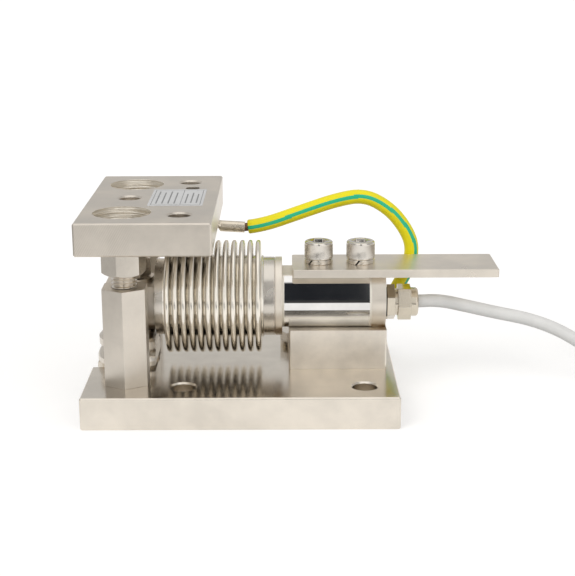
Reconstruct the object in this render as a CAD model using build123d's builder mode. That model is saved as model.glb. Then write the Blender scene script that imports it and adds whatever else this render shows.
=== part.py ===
from build123d import *
import math
import os

# Weighing module: a bellows-sealed bending beam load cell between a base plate and a top plate.
# Millimetres. The origin is the centre of the base plate's underside, +Z is up, and +X runs along
# the load cell from its free end to its cable.

# Base plate
base_length = 170.0
base_depth = 132.0
base_thickness = 18.0
edge_break = 0.8
base_hole_diameter = 13.5
hole_bevel = 0.9
base_hole_spacing_x = 98.0
base_hole_spacing_y = 95.0
base_hole_centre_x = 17.8
slot_upper_width = 28.0
slot_upper_depth = 5.0
slot_lower_width = 18.0

# Fits
thread_gap = 0.1
clearance_gap = 0.5

# Spacer block under the clamped end
spacer_start_x = 26.0
spacer_length = 54.5
spacer_depth = 38.0
spacer_height = 22.5

# Load cell body
clamped_diameter = 38.0
clamped_flat_height = 30.0
clamped_start_x = 22.3
clamped_end_x = 80.0
shoulder_diameter = 44.4
shoulder_length = 4.2
weld_groove = 0.5
spigot_diameter = 30.0
beam_width = 20.0
beam_height = 26.0
beam_hole_diameter = 16.0
beam_hole_pitch = 26.0
beam_slit = 4.0
beam_end_gap = 0.6
free_end_diameter = 37.0
free_end_length = 28.1
free_end_bevel = 1.5
free_top_flat = 9.7
free_bottom_flat = 17.9

# Bellows and its collars
bellows_diameter = 63.5
bellows_root_diameter = 46.2
bellows_wall = 0.4
convolution_count = 12
convolution_pitch = 4.53
convolution_width = 3.1
first_crest_x = -40.7
cuff_length = 0.6
crest_bend_steps = 4
root_bend_steps = 1
collar_seat_length = 1.2
free_collar_diameter = 43.0
free_collar_length = 4.8

# Polished side covers and the pocket under the front one
cover_thickness = 0.6
cover_start_x = 22.3
cover_length = 49.8
cover_edge_gap = 0.3
pocket_start_x = 30.0
pocket_length = 40.0
pocket_height = 12.0
pocket_floor = 11.0
lead_bore_diameter = 4.0
lead_diameter = 1.6
gauge_length = 8.0
gauge_width = 5.0
gauge_thickness = 0.15
board_length = 26.0
board_height = 9.0
board_thickness = 1.6

# Clamp bar and its screws
bar_start_x = 28.0
bar_length = 114.0
bar_width = 36.0
bar_thickness = 4.5
clamp_screw_diameter = 10.0
clamp_screw_length = 70.0
clamp_screw_pitch = 23.5
clamp_screw_centre_x = 54.7
clamp_head_diameter = 16.0
clamp_socket_flats = 8.0
clamp_washer_thickness = 2.5
clamp_hole_diameter = 11.0

# Posts beside the free end
load_axis_x = -62.0
post_spacing = 78.0
post_flats = 23.0
post_height = 54.0
post_stud_diameter = 14.0
post_stud_start_z = 2.0
post_nut_flats = 21.0
post_nut_height = 12.8
post_nut_turn = -12.0
post_washer_thickness = 2.5
post_washer_diameter = 28.0
post_thin_nut_height = 7.0

# Top plate
plate_clear_height = 76.7
plate_length = 71.0
plate_depth = 132.0
plate_thickness = 17.6
plate_centre_x = -48.9
counterbore_diameter = 31.2
counterbore_floor = 4.1
post_hole_diameter = 16.0
plate_hole_diameter = 12.0
plate_hole_x = -31.2
plate_hole_spacing = 90.0

# Load stud through the free end
load_stud_diameter = 12.0
load_stud_start_z = 20.0
load_stud_recess = 3.5
load_hole_diameter = 13.5
load_nut_flats = 18.0
load_nut_height = 10.8
load_thin_nut_height = 6.0
load_washer_diameter = 24.0
load_washer_thickness = 2.5
stop_washer_diameter = 40.0
stop_washer_thickness = 7.2
stop_washer_bevel = 1.6
stop_flat_x = -49.0
dome_nut_diameter = 42.0
dome_nut_height = 8.2
dome_nut_rim = 2.8
dome_nut_seat = 35.0

# Label on the top plate
label_length = 30.0
label_width = 45.0
label_thickness = 0.2
label_centre_x = -35.4

# Cable gland
gland_axis_drop = 3.8
gland_thread_diameter = 12.0
gland_thread_length = 4.5
gland_bore_depth = 7.0
gland_flats = 18.0
gland_ring_thickness = 1.4
gland_ring_diameter = 16.5
gland_hex_length = 4.4
gland_neck_length = 1.8
gland_neck_diameter = 15.0
gland_spigot_length = 4.0
gland_spigot_diameter = 12.0
gland_cap_length = 7.3
gland_nose_length = 4.2
gland_nose_diameter = 16.3
gland_nose_round = 1.5
gland_body_turn = 2.7
gland_cap_turn = 32.0
gland_seal_length = 3.2

# Signal cable and its coil
cable_diameter = 7.4
coil_centre_x = 269.0
coil_columns = 3
coil_layers = 4
coil_inner_radius = 28.0
tie_thickness = 1.0
tie_width = 4.0
free_tie_angle = 235.0
tail_tie_angle = 75.0
coil_exit_start = 15.0
coil_exit_end = 150.0
stub_sink = 0.1
core_diameter = 1.3
core_length = 20.0
core_spread = 1.6

# Earth wire and its lugs
earth_line_y = 27.0
earth_wire_diameter = 8.2
earth_core_diameter = 4.8
earth_bare_length = 1.9
lug_palm_radius = 7.5
lug_palm_thickness = 1.8
lug_neck_width = 8.0
lug_neck_length = 4.4
lug_barrel_diameter = 6.4
lug_barrel_bore = 5.2
lug_barrel_drop = 4.6
lug_barrel_length = 14.0
lug_hole_to_neck = 11.2
lug_core_depth = 9.0
earth_screw_diameter = 8.0
earth_screw_length = 14.0
earth_head_flats = 13.0
earth_head_height = 5.3
earth_washer_diameter = 15.0
earth_washer_thickness = 1.6
top_earth_hole_x = -28.8
base_earth_hole_x = 28.6
top_barrel_slope = -3.5
base_barrel_slope = 8.0

# Places worked out from the sizes above
base_top_z = base_thickness
cell_axis_z = base_top_z + spacer_height + clamped_flat_height / 2
clamped_radius = clamped_diameter / 2
bar_bottom_z = cell_axis_z + clamped_flat_height / 2
bar_top_z = bar_bottom_z + bar_thickness
plate_bottom_z = base_top_z + plate_clear_height
plate_top_z = plate_bottom_z + plate_thickness
counterbore_floor_z = plate_bottom_z + counterbore_floor
bellows_root_radius = bellows_root_diameter / 2
bellows_inner_root = bellows_root_radius - bellows_wall
root_round = (convolution_pitch - convolution_width) / 2
last_crest_x = first_crest_x + (convolution_count - 1) * convolution_pitch
bellows_start_x = first_crest_x - convolution_pitch / 2 - cuff_length
bellows_end_x = last_crest_x + convolution_pitch / 2 + cuff_length
shoulder_start_x = clamped_start_x - shoulder_length
free_collar_start_x = bellows_start_x - free_collar_length
free_end_start_x = free_collar_start_x - free_end_length
beam_start_x = bellows_start_x + collar_seat_length + beam_end_gap
beam_end_x = bellows_end_x - collar_seat_length - beam_end_gap
beam_centre_x = (beam_start_x + beam_end_x) / 2
free_top_z = cell_axis_z + free_top_flat
free_bottom_z = cell_axis_z - free_bottom_flat
clamp_screw_places = [
    clamp_screw_centre_x - clamp_screw_pitch / 2,
    clamp_screw_centre_x + clamp_screw_pitch / 2,
]
clamp_head_bottom_z = bar_top_z + clamp_washer_thickness
gland_axis_z = cell_axis_z - gland_axis_drop
lead_cross_x = clamped_end_x - (gland_bore_depth + gland_thread_length) / 2
coil_outer_radius = coil_inner_radius + coil_columns * cable_diameter
coil_bottom_z = tie_thickness
coil_top_z = coil_bottom_z + coil_layers * cable_diameter
coil_entry_radius = coil_outer_radius - cable_diameter / 2
coil_centre_y = coil_entry_radius
coil_middle_radius = (coil_inner_radius + coil_outer_radius) / 2

# The signal cable's route from inside the gland to the coil, as x and z on the module's mid-plane
cable_route = [
    (76.5, 51.7),
    (98.0, 51.8),
    (111.0, 52.6),
    (126.5, 49.1),
    (144.0, 45.0),
    (162.0, 41.4),
    (178.0, 35.6),
    (193.0, 27.0),
    (206.0, 17.4),
    (217.0, 10.0),
    (227.5, 5.7),
    (235.5, 4.7),
    (242.0, 4.7),
]

# The earth wire's route between its two bared ends, as x and z in its own plane
earth_route = [
    (11.5, 90.4),
    (33.5, 98.2),
    (53.8, 105.2),
    (70.0, 108.0),
    (84.2, 100.2),
    (93.8, 88.6),
    (98.4, 77.3),
    (96.2, 65.2),
    (89.9, 53.0),
    (83.4, 41.4),
    (75.7, 32.2),
    (66.8, 26.3),
]

os.makedirs("parts", exist_ok=True)


def cell_plane(x):
    """Plane square to the cell's axis at x, with its own x along +Y and its own y upwards."""
    return Plane(origin=(x, 0, cell_axis_z), x_dir=(0, 1, 0), z_dir=(1, 0, 0))


def gland_plane(x):
    """Plane square to the gland's axis at x."""
    return Plane(origin=(x, 0, gland_axis_z), x_dir=(0, 1, 0), z_dir=(1, 0, 0))


def save(part, label):
    """Label a finished piece and write it."""
    part.label = label
    export_step(part, "parts/" + label + ".step")


def slot_outline(width):
    """A slot open to the plate's left edge that ends in a half circle under the load axis."""
    reach = load_axis_x + base_length / 2 + edge_break
    with Locations((load_axis_x - reach / 2, 0)):
        Rectangle(reach, width)
    with Locations((load_axis_x, 0)):
        Circle(width / 2)


def make_base_plate():
    """Ground plate with four bolt holes, tapped holes for the posts and screws, and a stepped slot."""
    hole_radius = base_hole_diameter / 2
    with BuildPart() as base_plate:
        with BuildSketch():
            Rectangle(base_length, base_depth)
        extrude(amount=base_thickness)
        chamfer(base_plate.edges(), edge_break)
        with BuildSketch():
            slot_outline(slot_lower_width)
        extrude(amount=base_thickness, mode=Mode.SUBTRACT)
        with BuildSketch(Plane.XY.offset(base_top_z)):
            slot_outline(slot_upper_width)
        extrude(amount=-slot_upper_depth, mode=Mode.SUBTRACT)
        with Locations((base_hole_centre_x, 0, base_top_z)):
            with GridLocations(base_hole_spacing_x, base_hole_spacing_y, 2, 2):
                CounterSinkHole(hole_radius, hole_radius + hole_bevel, counter_sink_angle=90)
        with Locations((load_axis_x, 0, base_top_z)):
            with GridLocations(0, post_spacing, 1, 2):
                Hole(post_stud_diameter / 2 + thread_gap)
        with Locations([(x, 0, base_top_z) for x in clamp_screw_places]):
            Hole(clamp_screw_diameter / 2 + thread_gap)
        with Locations((base_earth_hole_x, earth_line_y, base_top_z)):
            Hole(earth_screw_diameter / 2 + thread_gap)
    save(base_plate.part, "base_plate")


def make_spacer_block():
    """Block that lifts the clamped end off the base plate."""
    with BuildPart() as spacer_block:
        with BuildSketch(Plane.XY.offset(base_top_z)):
            with Locations((spacer_start_x + spacer_length / 2, 0)):
                Rectangle(spacer_length, spacer_depth)
        extrude(amount=spacer_height)
        chamfer(spacer_block.edges().filter_by(Axis.Z), edge_break)
        with Locations([(x, 0, base_top_z + spacer_height) for x in clamp_screw_places]):
            Hole(clamp_hole_diameter / 2)
    save(spacer_block.part, "spacer_block")


def make_load_cell_body():
    """One bar: clamped end with flats, shoulder, thinned bending beam and free end."""
    cell_line = Axis((0, 0, cell_axis_z), (1, 0, 0))
    with BuildPart() as load_cell_body:
        # Clamped end, with a shallow seat for the side covers
        with BuildSketch(cell_plane(clamped_start_x)):
            Circle(clamped_radius)
            Rectangle(clamped_diameter, clamped_flat_height, mode=Mode.INTERSECT)
        extrude(amount=clamped_end_x - clamped_start_x)
        with BuildSketch(cell_plane(cover_start_x)):
            Rectangle(2 * clamped_diameter, 2 * clamped_diameter)
            Circle(clamped_radius - cover_thickness, mode=Mode.SUBTRACT)
        extrude(amount=cover_length, mode=Mode.SUBTRACT)
        # Shoulder with a weld groove at its collar, and the spigots that carry the collars
        with BuildSketch(cell_plane(shoulder_start_x)):
            Circle(shoulder_diameter / 2 - weld_groove)
        extrude(amount=shoulder_length)
        with BuildSketch(cell_plane(shoulder_start_x + weld_groove)):
            Circle(shoulder_diameter / 2)
        extrude(amount=shoulder_length - weld_groove)
        with BuildSketch(cell_plane(beam_end_x)):
            Circle(spigot_diameter / 2)
        extrude(amount=shoulder_start_x - beam_end_x)
        with BuildSketch(cell_plane(free_collar_start_x)):
            Circle(spigot_diameter / 2)
        extrude(amount=beam_start_x - free_collar_start_x)
        # Bending beam inside the bellows, with two cross holes joined by a slit
        with BuildSketch(cell_plane(beam_start_x)):
            Rectangle(beam_width, beam_height)
        extrude(amount=beam_end_x - beam_start_x)
        with BuildSketch(Plane(origin=(beam_centre_x, 0, cell_axis_z), x_dir=(1, 0, 0), z_dir=(0, -1, 0))):
            with GridLocations(beam_hole_pitch, 0, 2, 1):
                Circle(beam_hole_diameter / 2)
            Rectangle(beam_hole_pitch, beam_slit)
        extrude(amount=beam_width, both=True, mode=Mode.SUBTRACT)
        # Free end with its flats
        free_radius = free_end_diameter / 2
        with BuildSketch(Plane(origin=(free_end_start_x, 0, cell_axis_z), x_dir=(1, 0, 0), z_dir=(0, -1, 0))):
            with BuildLine():
                Polyline(
                    (0, 0),
                    (0, free_radius - free_end_bevel),
                    (free_end_bevel, free_radius),
                    (free_end_length, free_radius),
                    (free_end_length, 0),
                    close=True,
                )
            make_face()
        revolve(axis=cell_line)
        free_middle_x = free_end_start_x + free_end_length / 2
        above_flat = (free_middle_x, 0, free_top_z + free_radius)
        below_flat = (free_middle_x, 0, free_bottom_z - free_radius)
        with Locations(above_flat, below_flat):
            Box(free_end_length, free_end_diameter, free_end_diameter, mode=Mode.SUBTRACT)
        # Load hole, clamp holes and gland thread
        with Locations((load_axis_x, 0, free_top_z)):
            Hole(load_hole_diameter / 2)
        with Locations([(x, 0, bar_bottom_z) for x in clamp_screw_places]):
            Hole(clamp_hole_diameter / 2)
        with BuildSketch(gland_plane(clamped_end_x)):
            Circle(gland_thread_diameter / 2 + thread_gap)
        extrude(amount=-gland_bore_depth, mode=Mode.SUBTRACT)
        # Side pocket and the two bores that carry the leads
        pocket_depth = clamped_radius - pocket_floor
        with Locations((pocket_start_x + pocket_length / 2, -pocket_floor - pocket_depth / 2, cell_axis_z)):
            Box(pocket_length, pocket_depth, pocket_height, mode=Mode.SUBTRACT)
        lead_line_y = pocket_floor + lead_bore_diameter / 2
        with BuildSketch(cell_plane(beam_end_x)):
            with Locations((-lead_line_y, 0)):
                Circle(lead_bore_diameter / 2)
        extrude(amount=pocket_start_x + 1 - beam_end_x, mode=Mode.SUBTRACT)
        link_x = pocket_start_x + pocket_length
        with BuildSketch(gland_plane(link_x - 1)):
            with Locations((-lead_line_y, 0)):
                Circle(lead_bore_diameter / 2)
        extrude(amount=lead_cross_x + lead_bore_diameter / 2 - link_x + 1, mode=Mode.SUBTRACT)
        cross_start = (lead_cross_x, -lead_line_y, gland_axis_z)
        with BuildSketch(Plane(origin=cross_start, x_dir=(1, 0, 0), z_dir=(0, 1, 0))):
            Circle(lead_bore_diameter / 2)
        extrude(amount=lead_line_y, mode=Mode.SUBTRACT)
    save(load_cell_body.part, "load_cell_body")


def arc_points(centre, radius, start, end, steps):
    """Points on an arc, from one angle to another in degrees."""
    points = []
    for step in range(steps + 1):
        angle = math.radians(start + (end - start) * step / steps)
        points.append((centre[0] + radius * math.cos(angle), centre[1] + radius * math.sin(angle)))
    return points


def convolution_outline(wall_offset):
    """Half section of the folded wall, moved inwards by wall_offset from its outer skin."""
    crest_radius = bellows_diameter / 2 - convolution_width / 2
    root_radius = bellows_root_radius + root_round
    crest_bend = convolution_width / 2 - wall_offset
    root_bend = root_round + wall_offset
    points = [(bellows_start_x, bellows_root_radius - wall_offset)]
    for index in range(convolution_count):
        crest_x = first_crest_x + index * convolution_pitch
        left_root = (crest_x - convolution_pitch / 2, root_radius)
        right_root = (crest_x + convolution_pitch / 2, root_radius)
        if index == 0:
            points += arc_points(left_root, root_bend, -90, 0, root_bend_steps)
        points += arc_points((crest_x, crest_radius), crest_bend, 180, 0, crest_bend_steps)
        points += arc_points(right_root, root_bend, 180, 270, root_bend_steps)
        if index < convolution_count - 1:
            points += arc_points(right_root, root_bend, -90, 0, root_bend_steps)[1:]
    points.append((bellows_end_x, bellows_root_radius - wall_offset))
    return points


def make_bellows():
    """Thin folded metal tube with a cuff at each end."""
    outside = convolution_outline(0)
    inside = convolution_outline(bellows_wall)
    with BuildPart() as bellows:
        with BuildSketch(Plane(origin=(0, 0, cell_axis_z), x_dir=(1, 0, 0), z_dir=(0, -1, 0))):
            with BuildLine():
                Polyline(*outside, *reversed(inside), close=True)
            make_face()
        revolve(axis=Axis((0, 0, cell_axis_z), (1, 0, 0)))
    save(bellows.part, "bellows")


def make_collar(label, start_x, end_x, diameter, seat_start_x):
    """Welded ring that joins the bellows to the body, with a thin seat inside the cuff."""
    with BuildPart() as collar:
        with BuildSketch(cell_plane(start_x)):
            Circle(diameter / 2)
        extrude(amount=end_x - start_x)
        with BuildSketch(cell_plane(seat_start_x)):
            Circle(bellows_inner_root)
        extrude(amount=collar_seat_length)
        with BuildSketch(cell_plane(min(start_x, seat_start_x))):
            Circle(spigot_diameter / 2)
        extrude(amount=end_x - start_x + collar_seat_length, mode=Mode.SUBTRACT)
    save(collar.part, label)


def make_side_cover(label, side):
    """Thin polished arc that closes one side of the clamped end between its flats."""
    cover_height = clamped_flat_height - 2 * cover_edge_gap
    with BuildPart() as cover:
        with BuildSketch(cell_plane(cover_start_x)):
            Circle(clamped_radius)
            Circle(clamped_radius - cover_thickness, mode=Mode.SUBTRACT)
            with Locations((side * clamped_radius / 2, 0)):
                Rectangle(clamped_radius, cover_height, mode=Mode.INTERSECT)
        extrude(amount=cover_length)
    save(cover.part, label)


def make_strain_gauges():
    """Four foil gauges, above and below the two thin places of the beam."""
    reach = beam_height / 2 + gauge_thickness / 2
    with BuildPart() as strain_gauges:
        with Locations((beam_centre_x, 0, cell_axis_z - reach), (beam_centre_x, 0, cell_axis_z + reach)):
            with GridLocations(beam_hole_pitch, 0, 2, 1):
                Box(gauge_length, gauge_width, gauge_thickness)
    save(strain_gauges.part, "strain_gauges")


def make_bridge_board():
    """Small circuit board in the side pocket, with its trimming resistors."""
    board_centre_x = pocket_start_x + pocket_length / 2
    board_face_y = -pocket_floor - board_thickness
    resistor_size = (5.0, 1.4, 2.4)
    with BuildPart() as bridge_board:
        with Locations((board_centre_x, -pocket_floor - board_thickness / 2, cell_axis_z)):
            Box(board_length, board_thickness, board_height)
        with Locations((board_centre_x, board_face_y - resistor_size[1] / 2, cell_axis_z)):
            with GridLocations(board_length / 3, 0, 3, 1):
                Box(*resistor_size)
    save(bridge_board.part, "bridge_board")


def make_bridge_leads():
    """Lead bundle from the gauges to the board, and from the board to the gland."""
    lead_line_y = pocket_floor + lead_bore_diameter / 2
    board_centre_x = pocket_start_x + pocket_length / 2
    board_left_x = board_centre_x - board_length / 2
    board_right_x = board_centre_x + board_length / 2
    with BuildPart() as bridge_leads:
        with BuildSketch(cell_plane(beam_end_x - 8)):
            with Locations((-lead_line_y, 0)):
                Circle(lead_diameter / 2)
        extrude(amount=board_left_x - 0.3 - beam_end_x + 8)
        with BuildLine():
            Polyline(
                (board_right_x + 0.3, -lead_line_y, gland_axis_z),
                (lead_cross_x, -lead_line_y, gland_axis_z),
                (lead_cross_x, -lead_diameter, gland_axis_z),
            )
        with BuildSketch(gland_plane(board_right_x + 0.3)):
            with Locations((-lead_line_y, 0)):
                Circle(lead_diameter / 2)
        sweep(transition=Transition.ROUND)
    save(bridge_leads.part, "bridge_leads")


def make_clamp_bar():
    """Long flat strip under the clamp screws, which runs on over the cable gland."""
    with BuildPart() as clamp_bar:
        with BuildSketch(Plane.XY.offset(bar_bottom_z)):
            with Locations((bar_start_x + bar_length / 2, 0)):
                Rectangle(bar_length, bar_width)
        extrude(amount=bar_thickness)
        chamfer(clamp_bar.edges().filter_by(Axis.Z), edge_break)
        chamfer(clamp_bar.faces().sort_by(Axis.Z)[-1].edges(), edge_break / 3)
        with Locations([(x, 0, bar_top_z) for x in clamp_screw_places]):
            Hole(clamp_hole_diameter / 2)
    save(clamp_bar.part, "clamp_bar")


def make_clamp_screw(label, x):
    """Socket head cap screw through bar, cell and spacer into the base plate."""
    head_top_z = clamp_head_bottom_z + clamp_screw_diameter
    with BuildPart() as clamp_screw:
        with BuildSketch(Plane.XY.offset(clamp_head_bottom_z)):
            with Locations((x, 0)):
                Circle(clamp_head_diameter / 2)
        extrude(amount=clamp_screw_diameter)
        rim = clamp_screw.faces().sort_by(Axis.Z)[-1].edges()
        fillet(rim, clamp_screw_diameter / 10)
        with BuildSketch(Plane.XY.offset(clamp_head_bottom_z)):
            with Locations((x, 0)):
                Circle(clamp_screw_diameter / 2)
        extrude(amount=-clamp_screw_length)
        with BuildSketch(Plane.XY.offset(head_top_z)):
            with Locations((x, 0)):
                RegularPolygon(clamp_socket_flats / 2, 6, major_radius=False)
        extrude(amount=-clamp_screw_diameter / 2, mode=Mode.SUBTRACT)
    save(clamp_screw.part, label)


def make_lock_washer(label, x, gap_turn):
    """Split spring washer under a clamp screw's head."""
    bore = clamp_screw_diameter / 2 + clearance_gap / 2
    split = 1.4
    with BuildPart() as lock_washer:
        with BuildSketch(Plane.XY.offset(bar_top_z)):
            with Locations((x, 0)):
                Circle(clamp_head_diameter / 2)
                Circle(bore, mode=Mode.SUBTRACT)
        extrude(amount=clamp_washer_thickness)
        middle = (x, 0, bar_top_z + clamp_washer_thickness / 2)
        with BuildSketch(Plane(origin=middle, z_dir=(0, -1, 0)).rotated((0, gap_turn, 0))):
            Rectangle(split, 3 * clamp_washer_thickness, rotation=25)
        extrude(amount=clamp_head_diameter, mode=Mode.SUBTRACT)
    save(lock_washer.part, label)


def make_hex_nut(label, x, y, bottom_z, flats, bore, height, turn):
    """Hexagon nut with a turned bevel on both ends, its axis upright."""
    corner_radius = flats / math.sqrt(3)
    bevel = corner_radius - flats / 2
    bevel_height = bevel * math.tan(math.radians(30))
    with BuildPart() as nut:
        with BuildSketch(Plane.XY.offset(bottom_z)):
            with Locations((x, y)):
                RegularPolygon(flats / 2, 6, major_radius=False, rotation=30 + turn)
        extrude(amount=height)
        with BuildSketch(Plane(origin=(x, y, bottom_z), x_dir=(1, 0, 0), z_dir=(0, -1, 0))):
            with BuildLine():
                Polyline(
                    (0, 0),
                    (flats / 2, 0),
                    (corner_radius, bevel_height),
                    (corner_radius, height - bevel_height),
                    (flats / 2, height),
                    (0, height),
                    close=True,
                )
            make_face()
        revolve(axis=Axis((x, y, bottom_z), (0, 0, 1)), mode=Mode.INTERSECT)
        with Locations((x, y, bottom_z + height)):
            Hole(bore / 2 + thread_gap)
    save(nut.part, label)


def make_washer(label, x, y, bottom_z, diameter, bore, thickness):
    """Plain round washer, its axis upright."""
    with BuildPart() as washer:
        with BuildSketch(Plane.XY.offset(bottom_z)):
            with Locations((x, y)):
                Circle(diameter / 2)
                Circle(bore / 2 + clearance_gap / 2, mode=Mode.SUBTRACT)
        extrude(amount=thickness)
    save(washer.part, label)


def make_stud(label, x, y, bottom_z, top_z, diameter):
    """Threaded rod with bevelled ends, its axis upright."""
    with BuildPart() as stud:
        with BuildSketch(Plane.XY.offset(bottom_z)):
            with Locations((x, y)):
                Circle(diameter / 2)
        extrude(amount=top_z - bottom_z)
        chamfer(stud.edges().filter_by(GeomType.CIRCLE), diameter / 14)
    save(stud.part, label)


def make_hex_post(label, y):
    """Hexagon distance post, a corner towards the front."""
    with BuildPart() as hex_post:
        with BuildSketch(Plane.XY.offset(base_top_z)):
            with Locations((load_axis_x, y)):
                RegularPolygon(post_flats / 2, 6, major_radius=False, rotation=30)
                Circle(post_stud_diameter / 2 + thread_gap, mode=Mode.SUBTRACT)
        extrude(amount=post_height)
    save(hex_post.part, label)


def make_posts():
    """The two posts beside the free end, each with its stud, nuts and washer."""
    nut_bottom_z = plate_bottom_z - post_washer_thickness - post_nut_height
    stud_top_z = counterbore_floor_z + post_thin_nut_height
    for place, y in (("front", -post_spacing / 2), ("rear", post_spacing / 2)):
        make_hex_post("hex_post_" + place, y)
        make_stud("post_stud_" + place, load_axis_x, y, post_stud_start_z, stud_top_z, post_stud_diameter)
        make_hex_nut(
            "post_nut_" + place,
            load_axis_x,
            y,
            nut_bottom_z,
            post_nut_flats,
            post_stud_diameter,
            post_nut_height,
            post_nut_turn,
        )
        make_washer(
            "post_washer_" + place,
            load_axis_x,
            y,
            nut_bottom_z + post_nut_height,
            post_washer_diameter,
            post_stud_diameter,
            post_washer_thickness,
        )
        make_hex_nut(
            "post_thin_nut_" + place,
            load_axis_x,
            y,
            counterbore_floor_z,
            post_nut_flats,
            post_stud_diameter,
            post_thin_nut_height,
            0,
        )


def make_top_plate():
    """Plate that takes the load, with two counterbored post holes and tapped holes."""
    bore_depth = plate_thickness - counterbore_floor
    with BuildPart() as top_plate:
        with BuildSketch(Plane.XY.offset(plate_bottom_z)):
            with Locations((plate_centre_x, 0)):
                Rectangle(plate_length, plate_depth)
        extrude(amount=plate_thickness)
        chamfer(top_plate.edges(), edge_break)
        with Locations((load_axis_x, 0, plate_top_z)):
            with GridLocations(0, post_spacing, 1, 2):
                CounterBoreHole(post_hole_diameter / 2, counterbore_diameter / 2, bore_depth)
        tapped = plate_hole_diameter / 2 + thread_gap
        with Locations((load_axis_x, 0, plate_top_z)):
            CounterSinkHole(tapped, tapped + hole_bevel, counter_sink_angle=90)
        with Locations((plate_hole_x, 0, plate_top_z)):
            with GridLocations(0, plate_hole_spacing, 1, 2):
                CounterSinkHole(tapped, tapped + hole_bevel, counter_sink_angle=90)
        with Locations((top_earth_hole_x, earth_line_y, plate_top_z)):
            Hole(earth_screw_diameter / 2 + thread_gap)
    save(top_plate.part, "top_plate")


def stop_outline(diameter):
    """A circle round the load axis, cut off flat beside the bellows."""
    reach = stop_flat_x - load_axis_x + diameter / 2
    with Locations((load_axis_x, 0)):
        Circle(diameter / 2)
    with Locations((stop_flat_x - reach / 2, 0)):
        Rectangle(reach, diameter, mode=Mode.INTERSECT)


def make_load_line():
    """Load stud between the top plate and the free end, with its nuts and washers."""
    lower_washer_z = free_bottom_z - load_washer_thickness
    stop_washer_z = lower_washer_z - stop_washer_thickness
    dome_nut_z = stop_washer_z - dome_nut_height
    make_stud(
        "load_stud",
        load_axis_x,
        0,
        load_stud_start_z,
        plate_top_z - load_stud_recess,
        load_stud_diameter,
    )
    make_hex_nut(
        "load_jam_nut",
        load_axis_x,
        0,
        plate_bottom_z - load_thin_nut_height,
        load_nut_flats,
        load_stud_diameter,
        load_thin_nut_height,
        0,
    )
    make_washer(
        "load_upper_washer",
        load_axis_x,
        0,
        free_top_z,
        load_washer_diameter,
        load_stud_diameter,
        load_washer_thickness,
    )
    make_hex_nut(
        "load_upper_nut",
        load_axis_x,
        0,
        free_top_z + load_washer_thickness,
        load_nut_flats,
        load_stud_diameter,
        load_nut_height,
        30,
    )
    make_washer(
        "load_lower_washer",
        load_axis_x,
        0,
        lower_washer_z,
        load_washer_diameter,
        load_stud_diameter,
        load_washer_thickness,
    )
    with BuildPart() as stop_washer:
        with BuildSketch(Plane.XY.offset(stop_washer_z)):
            stop_outline(stop_washer_diameter)
        extrude(amount=stop_washer_thickness)
        flat_faces = stop_washer.faces().sort_by(Axis.Z)
        chamfer(flat_faces[0].edges() + flat_faces[-1].edges(), stop_washer_bevel)
        with Locations((load_axis_x, 0, lower_washer_z)):
            Hole(load_stud_diameter / 2 + clearance_gap / 2)
    save(stop_washer.part, "load_stop_washer")
    with BuildPart() as dome_nut:
        with BuildSketch(Plane(origin=(load_axis_x, 0, dome_nut_z), x_dir=(1, 0, 0), z_dir=(0, -1, 0))):
            with BuildLine():
                Polyline(
                    (0, dome_nut_height),
                    (0, 0),
                    (dome_nut_diameter / 2, 0),
                    (dome_nut_diameter / 2, dome_nut_rim),
                )
                ThreePointArc(
                    (dome_nut_diameter / 2, dome_nut_rim),
                    (dome_nut_diameter / 2 - 1.1, (dome_nut_rim + dome_nut_height) / 2),
                    (dome_nut_seat / 2, dome_nut_height),
                )
                Line((dome_nut_seat / 2, dome_nut_height), (0, dome_nut_height))
            make_face()
        revolve(axis=Axis((load_axis_x, 0, dome_nut_z), (0, 0, 1)))
        with BuildSketch(Plane.XY.offset(dome_nut_z)):
            stop_outline(dome_nut_diameter)
        extrude(amount=dome_nut_height, mode=Mode.INTERSECT)
        with Locations((load_axis_x, 0, stop_washer_z)):
            Hole(load_stud_diameter / 2 + thread_gap)
    save(dome_nut.part, "load_lower_nut")


def make_rating_label():
    """Thin sticker on the top plate."""
    with BuildPart() as rating_label:
        with BuildSketch(Plane.XY.offset(plate_top_z)):
            with Locations((label_centre_x, 0)):
                RectangleRounded(label_length, label_width, edge_break)
        extrude(amount=label_thickness)
    save(rating_label.part, "rating_label")


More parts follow.
